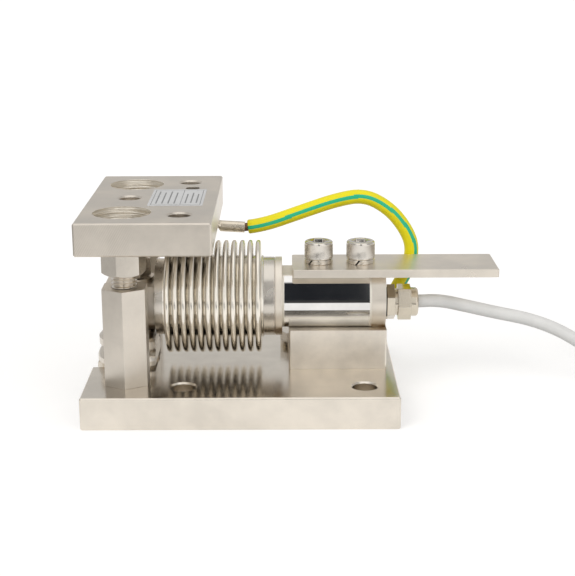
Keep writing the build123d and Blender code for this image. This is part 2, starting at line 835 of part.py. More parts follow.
def make_gland():
    """Cable gland: sealing ring, body with hexagon, rubber seal and cap nut."""
    cable_bore = cable_diameter / 2 + thread_gap
    hex_start_x = clamped_end_x + gland_ring_thickness
    neck_start_x = hex_start_x + gland_hex_length
    cap_start_x = neck_start_x + gland_neck_length
    nose_start_x = cap_start_x + gland_cap_length
    seal_start_x = cap_start_x + gland_spigot_length
    spigot_radius = gland_spigot_diameter / 2

    with BuildPart() as gland_ring:
        with BuildSketch(gland_plane(clamped_end_x)):
            Circle(gland_ring_diameter / 2)
            Circle(gland_thread_diameter / 2 + thread_gap, mode=Mode.SUBTRACT)
        extrude(amount=gland_ring_thickness)
    save(gland_ring.part, "gland_ring")

    with BuildPart() as gland_body:
        with BuildSketch(gland_plane(clamped_end_x - gland_thread_length)):
            Circle(gland_thread_diameter / 2)
        extrude(amount=gland_thread_length + gland_ring_thickness)
        with BuildSketch(gland_plane(hex_start_x)):
            RegularPolygon(gland_flats / 2, 6, major_radius=False, rotation=30 + gland_body_turn)
        extrude(amount=gland_hex_length)
        with BuildSketch(gland_plane(neck_start_x)):
            Circle(gland_neck_diameter / 2)
        extrude(amount=gland_neck_length)
        with BuildSketch(gland_plane(cap_start_x)):
            Circle(spigot_radius)
        extrude(amount=gland_spigot_length)
        with BuildSketch(gland_plane(clamped_end_x - gland_thread_length)):
            Circle(cable_bore)
        extrude(amount=seal_start_x - clamped_end_x + gland_thread_length, mode=Mode.SUBTRACT)
    save(gland_body.part, "gland_body")

    with BuildPart() as gland_seal:
        with BuildSketch(gland_plane(seal_start_x)):
            Circle(spigot_radius)
            Circle(cable_bore, mode=Mode.SUBTRACT)
        extrude(amount=gland_seal_length)
    save(gland_seal.part, "gland_seal")

    with BuildPart() as gland_cap_nut:
        with BuildSketch(gland_plane(cap_start_x)):
            RegularPolygon(gland_flats / 2, 6, major_radius=False, rotation=30 + gland_cap_turn)
        extrude(amount=gland_cap_length)
        with BuildSketch(gland_plane(nose_start_x)):
            Circle(gland_nose_diameter / 2)
        extrude(amount=gland_nose_length)
        nose = gland_cap_nut.faces().sort_by(Axis.X)[-1]
        fillet(nose.edges(), gland_nose_round)
        with BuildSketch(gland_plane(cap_start_x)):
            Circle(spigot_radius + thread_gap)
        extrude(amount=gland_spigot_length + gland_seal_length, mode=Mode.SUBTRACT)
        with BuildSketch(gland_plane(cap_start_x)):
            Circle(cable_bore + clearance_gap / 2)
        extrude(amount=gland_cap_length + gland_nose_length, mode=Mode.SUBTRACT)
    save(gland_cap_nut.part, "gland_cap_nut")


def corner_radii(points):
    """The largest arc at each inner point of a route, with a little of each run left straight."""
    radii = []
    for before, here, after in zip(points, points[1:], points[2:]):
        inward = Vector(*here) - Vector(*before)
        outward = Vector(*after) - Vector(*here)
        half_turn = math.radians(inward.get_angle(outward)) / 2
        radii.append(0.45 * min(inward.length, outward.length) / math.tan(half_turn))
    return radii


def make_tube(label, points, diameter):
    """Round tube along straight runs joined by tangent arcs."""
    radii = corner_radii(points)
    start = Vector(*points[0])
    direction = Vector(*points[1]) - start
    with BuildPart() as tube:
        with BuildLine() as path:
            FilletPolyline(*points, radius=radii)
        with BuildSketch(Plane(origin=start, z_dir=direction)):
            Circle(diameter / 2)
        sweep()
    route_length = sum(edge.length for edge in path.edges())
    ideal = math.pi * diameter**2 / 4 * route_length
    print(label, "radii", [round(radius, 1) for radius in radii])
    print(label, "length", round(route_length, 1), "volume ratio", round(tube.part.volume / ideal, 4))
    save(tube.part, label)


def make_coil():
    """Outer shape of the coiled cable, with the stubs where the cable enters and leaves it."""
    lead_in_x = cable_route[-1][0]
    middle_z = coil_bottom_z + cable_diameter / 2
    saddle_length = 2 * math.pi * coil_middle_radius * coil_exit_start / 360
    tail_z = coil_top_z + cable_diameter / 2
    with BuildPart() as cable_coil:
        with BuildSketch(Plane.XY.offset(coil_bottom_z)):
            with Locations((coil_centre_x, coil_centre_y)):
                Circle(coil_outer_radius)
                Circle(coil_inner_radius, mode=Mode.SUBTRACT)
        extrude(amount=coil_top_z - coil_bottom_z)
        fillet(cable_coil.edges().filter_by(GeomType.CIRCLE), cable_diameter / 3)
        with BuildSketch(Plane(origin=(lead_in_x, 0, middle_z), x_dir=(0, 1, 0), z_dir=(1, 0, 0))):
            Circle(cable_diameter / 2 - stub_sink)
        extrude(amount=coil_centre_x - lead_in_x)
        stub_foot = (coil_centre_x, coil_centre_y + coil_middle_radius, 0)
        with BuildSketch(Plane(origin=stub_foot, x_dir=(0, 1, 0), z_dir=(-1, 0, 0))):
            with Locations((0, -tail_z)):
                Circle(cable_diameter / 2)
                with Locations((0, cable_diameter / 2)):
                    Rectangle(cable_diameter - stub_sink, cable_diameter)
        revolve(axis=Axis((coil_centre_x, coil_centre_y, 0), (0, 0, 1)), revolution_arc=coil_exit_start)
    save(cable_coil.part, "cable_coil")


def coil_point(radius, angle, z):
    """A point above the coil, by radius and angle in degrees from +Y."""
    turn = math.radians(90 + angle)
    return (coil_centre_x + radius * math.cos(turn), coil_centre_y + radius * math.sin(turn), z)


def make_cable_tail():
    """Last stretch of the cable, which lies on the coil."""
    tail_z = coil_top_z + cable_diameter / 2
    start = coil_point(coil_middle_radius, coil_exit_start, tail_z)
    turn = math.radians(90 + coil_exit_start)
    tangent = (-math.sin(turn), math.cos(turn), 0)
    with BuildPart() as cable_tail:
        with BuildSketch(Plane(origin=start, x_dir=(0, 0, 1), z_dir=tangent)):
            Circle(cable_diameter / 2)
        revolve(
            axis=Axis((coil_centre_x, coil_centre_y, 0), (0, 0, 1)),
            revolution_arc=coil_exit_end - coil_exit_start,
        )
    save(cable_tail.part, "cable_tail")


def make_cable_cores():
    """Four stripped cores at the cable's end, fanned out over the coil."""
    tail_z = coil_top_z + cable_diameter / 2
    end = Vector(*coil_point(coil_middle_radius, coil_exit_end, tail_z))
    turn = math.radians(90 + coil_exit_end)
    tangent = Vector(-math.sin(turn), math.cos(turn), 0)
    across = Vector(math.cos(turn), math.sin(turn), 0)
    core_z = -cable_diameter / 2 + core_diameter
    with BuildPart() as cable_cores:
        for index in range(4):
            step = index - 1.5
            foot = end + across * (step * core_spread) + Vector(0, 0, core_z / 2)
            bend = foot + tangent * (core_length / 5)
            tip = bend + tangent * core_length + across * (step * 3 * core_spread) + Vector(0, 0, core_z / 2)
            with BuildLine():
                Polyline(foot, bend, tip)
            with BuildSketch(Plane(origin=foot, z_dir=tangent)):
                Circle(core_diameter / 2)
            sweep(transition=Transition.ROUND)
    save(cable_cores.part, "cable_cores")


def tie_outline(slack, over_tail):
    """What a strap goes round, drawn top down: the coil's section, and the cable's tail on top of it."""
    width = coil_outer_radius - coil_inner_radius
    height = coil_top_z - coil_bottom_z
    RectangleRounded(width, height, cable_diameter / 3)
    if over_tail:
        with Locations((0, -(height + cable_diameter) / 2)):
            Circle(cable_diameter / 2)
        make_hull()
    if slack:
        offset(amount=slack)


def make_coil_ties():
    """Two straps round the coil, one of them over the cable's tail as well."""
    section_centre_z = (coil_top_z + coil_bottom_z) / 2
    tie_arc = math.degrees(tie_width / coil_middle_radius)
    coil_line = Axis((coil_centre_x, coil_centre_y, 0), (0, 0, 1))
    with BuildPart() as coil_ties:
        for angle, over_tail in ((free_tie_angle, False), (tail_tie_angle, True)):
            turn = math.radians(90 + angle - tie_arc / 2)
            section_plane = Plane(
                origin=coil_point(coil_middle_radius, angle - tie_arc / 2, section_centre_z),
                x_dir=(math.cos(turn), math.sin(turn), 0),
                z_dir=(-math.sin(turn), math.cos(turn), 0),
            )
            with BuildSketch(section_plane):
                tie_outline(tie_thickness, over_tail)
            revolve(axis=coil_line, revolution_arc=tie_arc)
            with BuildSketch(section_plane):
                tie_outline(0, over_tail)
            revolve(axis=coil_line, revolution_arc=tie_arc, mode=Mode.SUBTRACT)
    save(coil_ties.part, "coil_ties")


def make_lug(label, hole_x, face_z, side, slope):
    """Crimp lug: flat palm with a screw hole, a flattened neck and a round barrel."""
    palm_middle_z = face_z + side * lug_palm_thickness / 2
    neck_x = hole_x + lug_hole_to_neck
    root_x = neck_x + lug_neck_length
    root_z = face_z + side * lug_barrel_drop
    angle = math.radians(slope)
    barrel_direction = (math.cos(angle), 0, math.sin(angle))
    barrel_plane = Plane(origin=(root_x, earth_line_y, root_z), x_dir=(0, 1, 0), z_dir=barrel_direction)
    with BuildPart() as lug:
        with BuildSketch(Plane.XY.offset(palm_middle_z)):
            with Locations((hole_x, earth_line_y)):
                Circle(lug_palm_radius)
            with Locations((hole_x + lug_hole_to_neck / 2, earth_line_y)):
                Rectangle(lug_hole_to_neck, lug_neck_width)
        extrude(amount=lug_palm_thickness / 2, both=True)
        neck_foot = (neck_x, earth_line_y, palm_middle_z)
        with BuildSketch(Plane(origin=neck_foot, x_dir=(0, 1, 0), z_dir=(1, 0, 0))):
            Rectangle(lug_neck_width, lug_palm_thickness)
        with BuildSketch(barrel_plane):
            Circle(lug_barrel_diameter / 2)
        loft()
        with BuildSketch(barrel_plane):
            Circle(lug_barrel_diameter / 2)
        extrude(amount=lug_barrel_length)
        with BuildSketch(barrel_plane):
            Circle(lug_barrel_bore / 2)
        extrude(amount=lug_barrel_length, mode=Mode.SUBTRACT)
        with Locations((hole_x, earth_line_y, max(face_z, face_z + side * lug_palm_thickness))):
            Hole(earth_screw_diameter / 2 + clearance_gap / 2, depth=2 * lug_palm_thickness)
    save(lug.part, label)
    mouth = Vector(root_x, earth_line_y, root_z) + Vector(*barrel_direction) * lug_barrel_length
    return mouth, Vector(*barrel_direction)


def make_conductor(label, mouth, barrel_direction, wire_end):
    """Bare strands from inside a lug's barrel to the end of the insulation."""
    inner = mouth - barrel_direction * lug_core_depth
    with BuildPart() as conductor:
        with BuildLine():
            Polyline(inner, mouth, wire_end)
        with BuildSketch(Plane(origin=inner, z_dir=barrel_direction)):
            Circle(earth_core_diameter / 2)
        sweep(transition=Transition.RIGHT)
    save(conductor.part, label)


def make_earth_screw(label, hole_x, lug_face_z, side):
    """Hexagon head screw and washer that hold a lug; side is +1 where the head points up."""
    washer_outer_z = lug_face_z + side * earth_washer_thickness
    with BuildPart() as screw:
        with BuildSketch(Plane.XY.offset(washer_outer_z)):
            with Locations((hole_x, earth_line_y)):
                RegularPolygon(earth_head_flats / 2, 6, major_radius=False)
        extrude(amount=side * earth_head_height)
        with BuildSketch(Plane.XY.offset(washer_outer_z)):
            with Locations((hole_x, earth_line_y)):
                Circle(earth_screw_diameter / 2)
        extrude(amount=-side * earth_screw_length)
    save(screw.part, label)
    make_washer(
        label.replace("screw", "washer"),
        hole_x,
        earth_line_y,
        min(lug_face_z, washer_outer_z),
        earth_washer_diameter,
        earth_screw_diameter,
        earth_washer_thickness,
    )


def make_earth_wire():
    """Earth wire with its two lugs, bare ends and screws."""
    middle_points = [Vector(x, earth_line_y, z) for x, z in earth_route]
    top_mouth, top_direction = make_lug(
        "earth_lug_top", top_earth_hole_x, plate_bottom_z, -1, top_barrel_slope
    )
    base_mouth, base_direction = make_lug(
        "earth_lug_base", base_earth_hole_x, base_top_z, 1, base_barrel_slope
    )
    wire_start = top_mouth + (middle_points[0] - top_mouth).normalized() * earth_bare_length
    wire_end = base_mouth + (middle_points[-1] - base_mouth).normalized() * earth_bare_length
    points = [tuple(point) for point in [wire_start, *middle_points, wire_end]]
    print("earth wire starts", points[0], "and ends", points[-1])
    make_tube("earth_wire", points, earth_wire_diameter)
    make_conductor("earth_core_top", top_mouth, top_direction, wire_start)
    make_conductor("earth_core_base", base_mouth, base_direction, wire_end)
    make_earth_screw("earth_screw_top", top_earth_hole_x, plate_bottom_z - lug_palm_thickness, -1)
    make_earth_screw("earth_screw_base", base_earth_hole_x, base_top_z + lug_palm_thickness, 1)


make_base_plate()
make_spacer_block()
make_load_cell_body()
make_bellows()
fixed_seat_x = bellows_end_x - collar_seat_length
make_collar("collar_fixed", bellows_end_x, shoulder_start_x, shoulder_diameter, fixed_seat_x)
make_collar("collar_free", free_collar_start_x, bellows_start_x, free_collar_diameter, bellows_start_x)
make_side_cover("side_cover_front", -1)
make_side_cover("side_cover_rear", 1)
make_strain_gauges()
make_bridge_board()
make_bridge_leads()
make_clamp_bar()
for number, screw_x in enumerate(clamp_screw_places):
    make_clamp_screw("clamp_screw_" + str(number + 1), screw_x)
    make_lock_washer("lock_washer_" + str(number + 1), screw_x, 160 + 40 * number)
make_posts()
make_top_plate()
make_load_line()
make_rating_label()
make_gland()
make_tube("signal_cable", [(x, 0, z) for x, z in cable_route], cable_diameter)
make_coil()
make_cable_tail()
make_cable_cores()
make_coil_ties()
make_earth_wire()
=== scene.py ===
"""Finishes, cable, earth wire and fine parts of a weighing module, set on its solid model."""

import math

import bpy
from mathutils import Matrix, Vector


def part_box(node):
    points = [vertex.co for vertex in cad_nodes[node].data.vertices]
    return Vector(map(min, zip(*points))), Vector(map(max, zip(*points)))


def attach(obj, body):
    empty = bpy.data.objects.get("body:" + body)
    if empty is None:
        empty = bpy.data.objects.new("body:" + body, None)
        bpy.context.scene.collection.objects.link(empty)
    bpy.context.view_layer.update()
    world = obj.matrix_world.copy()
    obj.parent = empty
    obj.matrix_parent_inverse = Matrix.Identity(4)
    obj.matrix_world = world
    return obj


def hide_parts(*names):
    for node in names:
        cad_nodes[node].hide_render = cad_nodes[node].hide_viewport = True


bl_info = {
    "name": "Weighing Module Finish",
    "version": (1, 0, 0),
    "blender": (4, 5, 0),
    "location": "View3D > Sidebar > Weighing Module",
    "description": "Metal finishes, cable, earth wire and fine parts of a bellows load cell module",
    "category": "Object",
}

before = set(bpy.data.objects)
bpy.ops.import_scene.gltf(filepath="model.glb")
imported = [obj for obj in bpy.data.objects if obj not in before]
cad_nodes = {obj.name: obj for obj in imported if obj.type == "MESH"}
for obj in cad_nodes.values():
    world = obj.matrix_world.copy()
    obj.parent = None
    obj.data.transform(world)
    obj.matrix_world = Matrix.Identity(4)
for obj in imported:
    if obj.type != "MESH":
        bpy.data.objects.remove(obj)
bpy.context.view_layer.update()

CELL_AXIS_Z = 0.0555

# The signal cable's route to its coil, as x and z on the module's mid-plane
CABLE_ROUTE = [
    (0.0765, 0.0517), (0.0980, 0.0518), (0.1110, 0.0526), (0.1265, 0.0491), (0.1440, 0.0450),
    (0.1620, 0.0414), (0.1780, 0.0356), (0.1930, 0.0270), (0.2060, 0.0174), (0.2170, 0.0100),
    (0.2275, 0.0057), (0.2355, 0.0047), (0.2420, 0.0047),
]

# The earth wire's route from the upper lug to the lower one, as x and z in its own plane
EARTH_LINE_Y = 0.027
EARTH_ROUTE = [
    (0.002663, 0.089449), (0.0115, 0.0904), (0.0335, 0.0982), (0.0538, 0.1052), (0.0700, 0.1080),
    (0.0842, 0.1002), (0.0938, 0.0886), (0.0984, 0.0773), (0.0962, 0.0652), (0.0899, 0.0530),
    (0.0834, 0.0414), (0.0757, 0.0322), (0.0668, 0.0263), (0.059927, 0.024922),
]

# The coil: centre, columns from the outside in and layers, then in degrees the step between its points,
# where and how long it shifts and rises, the skew of a layer, and its tail; and where its first turn begins
COIL_CENTRE = (0.269, 0.0465)
COIL_COLUMNS = (0.0465, 0.0391, 0.0317)
COIL_LAYERS = 4
COIL_BOTTOM = 0.001
CABLE_DIAMETER = 0.0074
TURN_STEP = 15.0
FIRST_SHIFT = 124.0
SHIFT_ARC = 56.0
RISE_ARC = 40.0
LAYER_SKEW = 60.0
TAIL_ARC = 150.0
LEAD_IN = 0.0105

# The ties: angle of each and whether it holds the tail too, half a width, and a head's distance and height
TIES = ((235.0, False), (75.0, True))
TIE_HALF_WIDTH = 0.002
TIE_HEAD = (0.0111, 0.0158)

# The stripped cores: radius, distance apart, and length before the bend and after it
CORE_RADIUS = 0.00065
CORE_GAP = 0.0016
CORE_LENGTHS = (0.004, 0.020)

# What metal reflects of the studio's walls: place round it, from the back by way of -X, and brightness
SKY_WALLS = [
    (0.0, 0.64), (0.25, 0.58), (0.34, 0.40), (0.378, 0.95), (0.40, 1.15),
    (0.64, 1.20), (0.665, 0.45), (0.75, 0.55), (1.0, 0.64),
]

# The gap between the soft boxes in front: its left and right side along X, and its colour
SKY_GAP = ((-0.085, -0.075, 0.0, 1.0), (0.068, 0.076, 1.0, 0.0))
GAP_COLOUR = (0.018, 0.020, 0.024)

# The ceiling: the height where it starts, where it is full, and its brightness
SKY_CEILING = (0.84, 0.90, 1.15)

# The top plate's deep bores: the centre of one, mirrored over the mid-plane, and how far its wall reaches
BORE_PLACE = (-0.062, 0.039)
BORE_REACH = 0.0159

# The bellows: number of folds, half the width of one, thickness of the wall, and the plain cuff at each end
FOLD_COUNT = 12
FOLD_HALF_WIDTH = 0.00155
FOLD_WALL = 0.0004
FOLD_CUFF = 0.0006

# The clamp screws: height of the head and number of grooves round it
HEAD_HEIGHT = 0.010
KNURL_GROOVES = 72

# Where the lit floor ends, as only mirrors show it: from and to along -Y, the gap's two sides as slope,
# start and end along X, the fade to the left as start, end and share, and the light left beyond
FLOOR_FRONT = (-0.31, -0.36)
FLOOR_GAP = ((0.08, -0.03, 0.0), (-0.20, 0.075, 0.055))
FLOOR_LEFT = (-0.10, -0.40, 0.58)
FLOOR_DIM = 0.05


def sized(name, description, default, unit="LENGTH"):
    """A size in the panel."""
    return bpy.props.FloatProperty(
        name=name, description=description, default=default, unit=unit, precision=5
    )


def tint(name, description, default):
    """A colour in the panel."""
    return bpy.props.FloatVectorProperty(
        name=name, description=description, default=default, subtype="COLOR", size=3, min=0.0, max=1.0
    )


def share(name, description, default):
    """A plain number from 0 to 1 in the panel."""
    return bpy.props.FloatProperty(
        name=name, description=description, default=default, subtype="FACTOR", min=0.0, max=1.0
    )


class MetalFinish(bpy.types.PropertyGroup):
    """Colours and polish of the metal parts."""

    plate_colour: tint("Plate", "Nickel plated base plate, block and top plate", (0.74, 0.685, 0.605))
    top_colour: tint("Top plate", "Nickel plated and blasted top plate", (0.72, 0.665, 0.59))
    cell_colour: tint("Cell body", "Turned steel of the load cell and its collars", (0.66, 0.62, 0.56))
    bellows_colour: tint("Bellows", "Rolled steel of the bellows", (0.86, 0.815, 0.735))
    screw_colour: tint("Screws", "Polished heads of the clamp screws", (0.72, 0.68, 0.62))
    nut_colour: tint("Nuts and posts", "Posts, nuts, washers and studs", (0.72, 0.665, 0.59))
    gland_colour: tint("Gland", "Nickel plated brass of the cable gland", (0.64, 0.58, 0.48))
    plate_roughness: share("Plate roughness", "How matt the base plate is", 0.18)
    bellows_roughness: share("Bellows roughness", "How matt the bellows are", 0.17)
    mirror_roughness: share("Cover roughness", "How matt the side cover is", 0.05)


class CordLook(bpy.types.PropertyGroup):
    """Sizes and colours of the cable and the earth wire."""

    cable_diameter: sized("Cable", "Outer diameter of the signal cable", CABLE_DIAMETER)
    wire_diameter: sized("Earth wire", "Outer diameter of the earth wire", 0.0082)
    jacket_colour: tint("Cable jacket", "Grey jacket of the signal cable", (0.75, 0.755, 0.75))
    earth_yellow: tint("Earth yellow", "Ground colour of the earth wire", (0.84, 0.745, 0.006))
    earth_green: tint("Earth green", "Stripe of the earth wire", (0.02, 0.50, 0.27))
    stripe_width: share("Stripe", "Share of the wire's girth that is green", 0.085)


class FineParts(bpy.types.PropertyGroup):
    """Sizes of the parts that are modelled here."""

    crest_radius: sized("Bellows crest", "Outer radius of the bellows", 0.03175)
    root_radius: sized("Bellows root", "Outer radius between two crests", 0.0231)
    pitch: sized("Bellows pitch", "Distance from crest to crest", 0.00453)
    stud_pitch: sized("Stud thread", "Thread pitch of the post studs", 0.002)
    load_pitch: sized("Load thread", "Thread pitch of the load stud", 0.00175)
    knurl_depth: sized("Knurl", "Depth of the grooves round a screw head", 0.00022)
    tie_thickness: sized("Tie", "Thickness of the straps round the coil", 0.001)
    label_colour: tint("Label", "Film of the label", (0.60, 0.61, 0.62))


class StageLook(bpy.types.PropertyGroup):
    """Light, floor and camera."""

    floor_colour: tint("Floor", "Colour of the floor", (0.62, 0.62, 0.62))
    floor_glow: share("Floor glow", "White that the camera and mirrors see over the floor's own light", 0.50)
    sky_strength: share("Sky", "Soft light from all sides", 0.62)
    key_power: sized("Key light", "Strength of the main lamp", 1.1, "NONE")
    fill_power: sized("Fill light", "Strength of the second lamp", 0.5, "NONE")
    camera_place: bpy.props.FloatVectorProperty(
        name="Camera", description="Where it stands", default=(0.02377, -0.7256, 0.25937), unit="LENGTH"
    )
    camera_pitch: sized("Pitch", "How far the camera looks down", math.radians(15.367), "ROTATION")
    camera_lens: sized("Lens", "Focal length", 83.12, "CAMERA")


def shader_tree(name):
    """A new node material and its tree and main shader."""
    material = bpy.data.materials.new(name)
    material.use_nodes = True
    tree = material.node_tree
    return material, tree, tree.nodes["Principled BSDF"]


def add_node(tree, kind, **inputs):
    """A new shader node with some of its sockets set. Underscores in names stand for spaces."""
    node = tree.nodes.new(kind)
    for name, value in inputs.items():
        node.inputs[name.replace("_", " ")].default_value = value
    return node


def object_place(tree, stretch=(1.0, 1.0, 1.0)):
    """The place on the object, stretched along its axes."""
    place = tree.nodes.new("ShaderNodeTexCoord")
    mapping = add_node(tree, "ShaderNodeMapping", Scale=stretch)
    tree.links.new(place.outputs["Object"], mapping.inputs["Vector"])
    return mapping.outputs["Vector"]


def noise(tree, place, scale, detail=3.0, roughness=0.55):
    """A noise field over a place."""
    node = add_node(tree, "ShaderNodeTexNoise", Scale=scale, Detail=detail, Roughness=roughness)
    tree.links.new(place, node.inputs["Vector"])
    return node.outputs["Fac"]


def remap(tree, value, low, high, new_low=0.0, new_high=1.0):
    """A field moved from one range to another."""
    node = add_node(tree, "ShaderNodeMapRange", From_Min=low, From_Max=high, To_Min=new_low, To_Max=new_high)
    tree.links.new(value, node.inputs["Value"])
    return node.outputs["Result"]


def calculate(tree, operation, *values):
    """One step of arithmetic on fields and numbers."""
    node = tree.nodes.new("ShaderNodeMath")
    node.operation = operation
    for socket, value in zip(node.inputs, values):
        if isinstance(value, (int, float)):
            socket.default_value = value
        else:
            tree.links.new(value, socket)
    return node.outputs["Value"]


def mix_shaders(tree, factor, first, second):
    """Two shaders mixed by a field."""
    mix = tree.nodes.new("ShaderNodeMixShader")
    for source, socket in zip((factor, first, second), mix.inputs):
        tree.links.new(source, socket)
    return mix.outputs["Shader"]


def spread_of(tree, axis):
    """One coordinate of the place on the object."""
    place = tree.nodes.new("ShaderNodeTexCoord")
    split = tree.nodes.new("ShaderNodeSeparateXYZ")
    tree.links.new(place.outputs["Object"], split.inputs["Vector"])
    return split.outputs[axis]


def colour_mix(tree, factor):
    """A mix of two colours by a field: its two inputs and its output."""
    node = tree.nodes.new("ShaderNodeMix")
    node.data_type = "RGBA"
    tree.links.new(factor, node.inputs["Factor"])
    first, second = [socket for socket in node.inputs if socket.type == "RGBA"]
    return first, second, next(socket for socket in node.outputs if socket.type == "RGBA")


def lay_over(tree, factor, colour, socket):
    """Lay a colour over what a colour socket shows, by a field."""
    under = socket.links[0].from_socket
    first, second, mixed = colour_mix(tree, factor)
    tree.links.new(under, first)
    second.default_value = (*colour, 1.0)
    tree.links.new(mixed, socket)


def change_roughness(tree, shader, factor, roughness):
    """Move a finish towards another roughness, by a field."""
    under = shader.inputs["Roughness"].links[0].from_socket
    part = calculate(tree, "MULTIPLY", factor, calculate(tree, "SUBTRACT", roughness, under))
    tree.links.new(calculate(tree, "ADD", under, part), shader.inputs["Roughness"])


def mottle(tree, field, colour, spread, socket):
    """A colour that varies with a field, a share darker to a share lighter."""
    first, second, mixed = colour_mix(tree, remap(tree, field, 0.35, 0.65))
    first.default_value = (*shade(colour, 1.0 - spread), 1.0)
    second.default_value = (*shade(colour, 1.0 + spread), 1.0)
    tree.links.new(mixed, socket)


def relief(tree, height, strength, depth, rounding=0.0):
    """A bump from a height field, over edges that are softly rounded."""
    bump = add_node(tree, "ShaderNodeBump", Strength=strength, Distance=depth)
    tree.links.new(height, bump.inputs["Height"])
    if rounding:
        bevel = tree.nodes.new("ShaderNodeBevel")
        bevel.samples = 4
        bevel.inputs["Radius"].default_value = rounding
        tree.links.new(bevel.outputs["Normal"], bump.inputs["Normal"])
    return bump.outputs["Normal"]


def shade(colour, factor):
    """A colour made lighter or darker."""
    return tuple(min(1.0, part * factor) for part in colour)


def warm(bright):
    """The studio's white at a brightness."""
    return (bright, bright * 0.99, bright * 0.975)


def metal_finish(
    name, colour, roughness, grain=1800.0, depth=0.00002, stretch=(1.0, 1.0, 1.0), stain=0.08, rounding=0.0004
):
    """Metal with a fine grain, faint stains and softly rounded edges."""
    material, tree, shader = shader_tree(name)
    shader.inputs["Metallic"].default_value = 1.0
    stains = noise(tree, object_place(tree), 38.0, 5.0, 0.6)
    mottle(tree, stains, colour, stain, shader.inputs["Base Color"])
    uneven = remap(tree, stains, 0.3, 0.7, roughness * 0.8, roughness * 1.25)
    tree.links.new(uneven, shader.inputs["Roughness"])
    fine = noise(tree, object_place(tree, stretch), grain, 2.0)
    tree.links.new(relief(tree, fine, 0.35, depth, rounding), shader.inputs["Normal"])
    return material


def plastic_finish(name, colour, roughness, spread=0.06, coat=0.0):
    """Plastic or rubber with a fine uneven skin."""
    material, tree, shader = shader_tree(name)
    shader.inputs["Coat Weight"].default_value = coat
    shader.inputs["IOR"].default_value = 1.46
    cloud = noise(tree, object_place(tree), 60.0, 4.0)
    mottle(tree, cloud, colour, spread, shader.inputs["Base Color"])
    uneven = remap(tree, cloud, 0.3, 0.7, roughness * 0.85, roughness * 1.2)
    tree.links.new(uneven, shader.inputs["Roughness"])
    fine = noise(tree, object_place(tree), 900.0, 2.0)
    tree.links.new(relief(tree, fine, 0.3, 0.00003), shader.inputs["Normal"])
    return material


def dress(material, *names):
    """Give CAD nodes a finish."""
    for name in names:
        for slot in cad_nodes[name].material_slots:
            slot.link = "OBJECT"
            slot.material = material


def put(name, data):
    """A new object in the scene."""
    piece = bpy.data.objects.new(name, data)
    bpy.context.scene.collection.objects.link(piece)
    return piece


def skin(name, rings, closed_ends=(True, True), smooth=True):
    """A mesh object from rings of points, each joined to the next."""
    count = len(rings[0])
    points = [tuple(point) for ring in rings for point in ring]
    faces = []
    for row in range(len(rings) - 1):
        low = row * count
        high = low + count
        for step in range(count):
            after = (step + 1) % count
            faces.append((low + step, low + after, high + after, high + step))
    if closed_ends[0]:
        faces.append(tuple(reversed(range(count))))
    if closed_ends[1]:
        last = (len(rings) - 1) * count
        faces.append(tuple(range(last, last + count)))
    mesh = bpy.data.meshes.new(name)
    mesh.from_pydata(points, [], faces)
    mesh.update()
    if smooth:
        mesh.polygons.foreach_set("use_smooth", [True] * len(mesh.polygons))
    return put(name, mesh)


def settle(piece, material, *replaced):
    """A finished piece rides on the module and may stand for CAD nodes."""
    if not piece.material_slots:
        piece.data.materials.append(material)
    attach(piece, "root")
    if replaced:
        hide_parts(*replaced)
    return piece


def upright_box(name):
    """Lowest and highest corner of a CAD node, and the middle of its plan."""
    low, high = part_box(name)
    return low, high, ((low[0] + high[0]) / 2, (low[1] + high[1]) / 2)


def arc(centre, radius, start, sweep, pieces, last=True):
    """Points on an arc, from an angle on by a sweep in degrees, with or without the last one."""
    angles = [math.radians(start + sweep * step / pieces) for step in range(pieces + last)]
    return [(centre[0] + radius * math.cos(angle), centre[1] + radius * math.sin(angle)) for angle in angles]


def upright_ring(centre, radius_at, z, count):
    """A level ring of points; radius_at gives the radius at an angle."""
    ring = []
    for step in range(count):
        angle = 2 * math.pi * step / count
        radius = radius_at(angle)
        ring.append((centre[0] + radius * math.cos(angle), centre[1] + radius * math.sin(angle), z))
    return ring


def cell_ring(radius, x, count):
    """A ring of points round the load cell's axis."""
    return [(x, y, z) for y, z in arc((0.0, CELL_AXIS_Z), radius, 0.0, 360.0, count, last=False)]


def smooth_line(name, points):
    """A curve whose line is a smooth spline with these control points."""
    curve = bpy.data.curves.new(name, "CURVE")
    curve.dimensions = "3D"
    spline = curve.splines.new("NURBS")
    spline.points.add(len(points) - 1)
    for place, point in zip(spline.points, points):
        place.co = (*point, 1.0)
    spline.order_u = 3
    spline.use_endpoint_u = True
    curve.resolution_u = 6
    return put(name, curve)


def round_line(name, points, radius, fineness=4):
    """A smooth line with a round skin and closed ends."""
    piece = smooth_line(name, points)
    piece.data.bevel_depth = radius
    piece.data.bevel_resolution = fineness
    piece.data.use_fill_caps = True
    return piece


def line_points(name, points):
    """Points along the smooth spline of a route."""
    line = smooth_line(name, points)
    bpy.context.view_layer.update()
    mesh = bpy.data.meshes.new_from_object(line)
    found = [vertex.co.copy() for vertex in mesh.vertices]
    bpy.data.objects.remove(line)
    bpy.data.meshes.remove(mesh)
    return found


def coil_place(radius, angle, height):
    """A point over the coil, by radius and angle in degrees from +Y."""
    turn = math.radians(90.0 + angle)
    return (COIL_CENTRE[0] + radius * math.cos(turn), COIL_CENTRE[1] + radius * math.sin(turn), height)


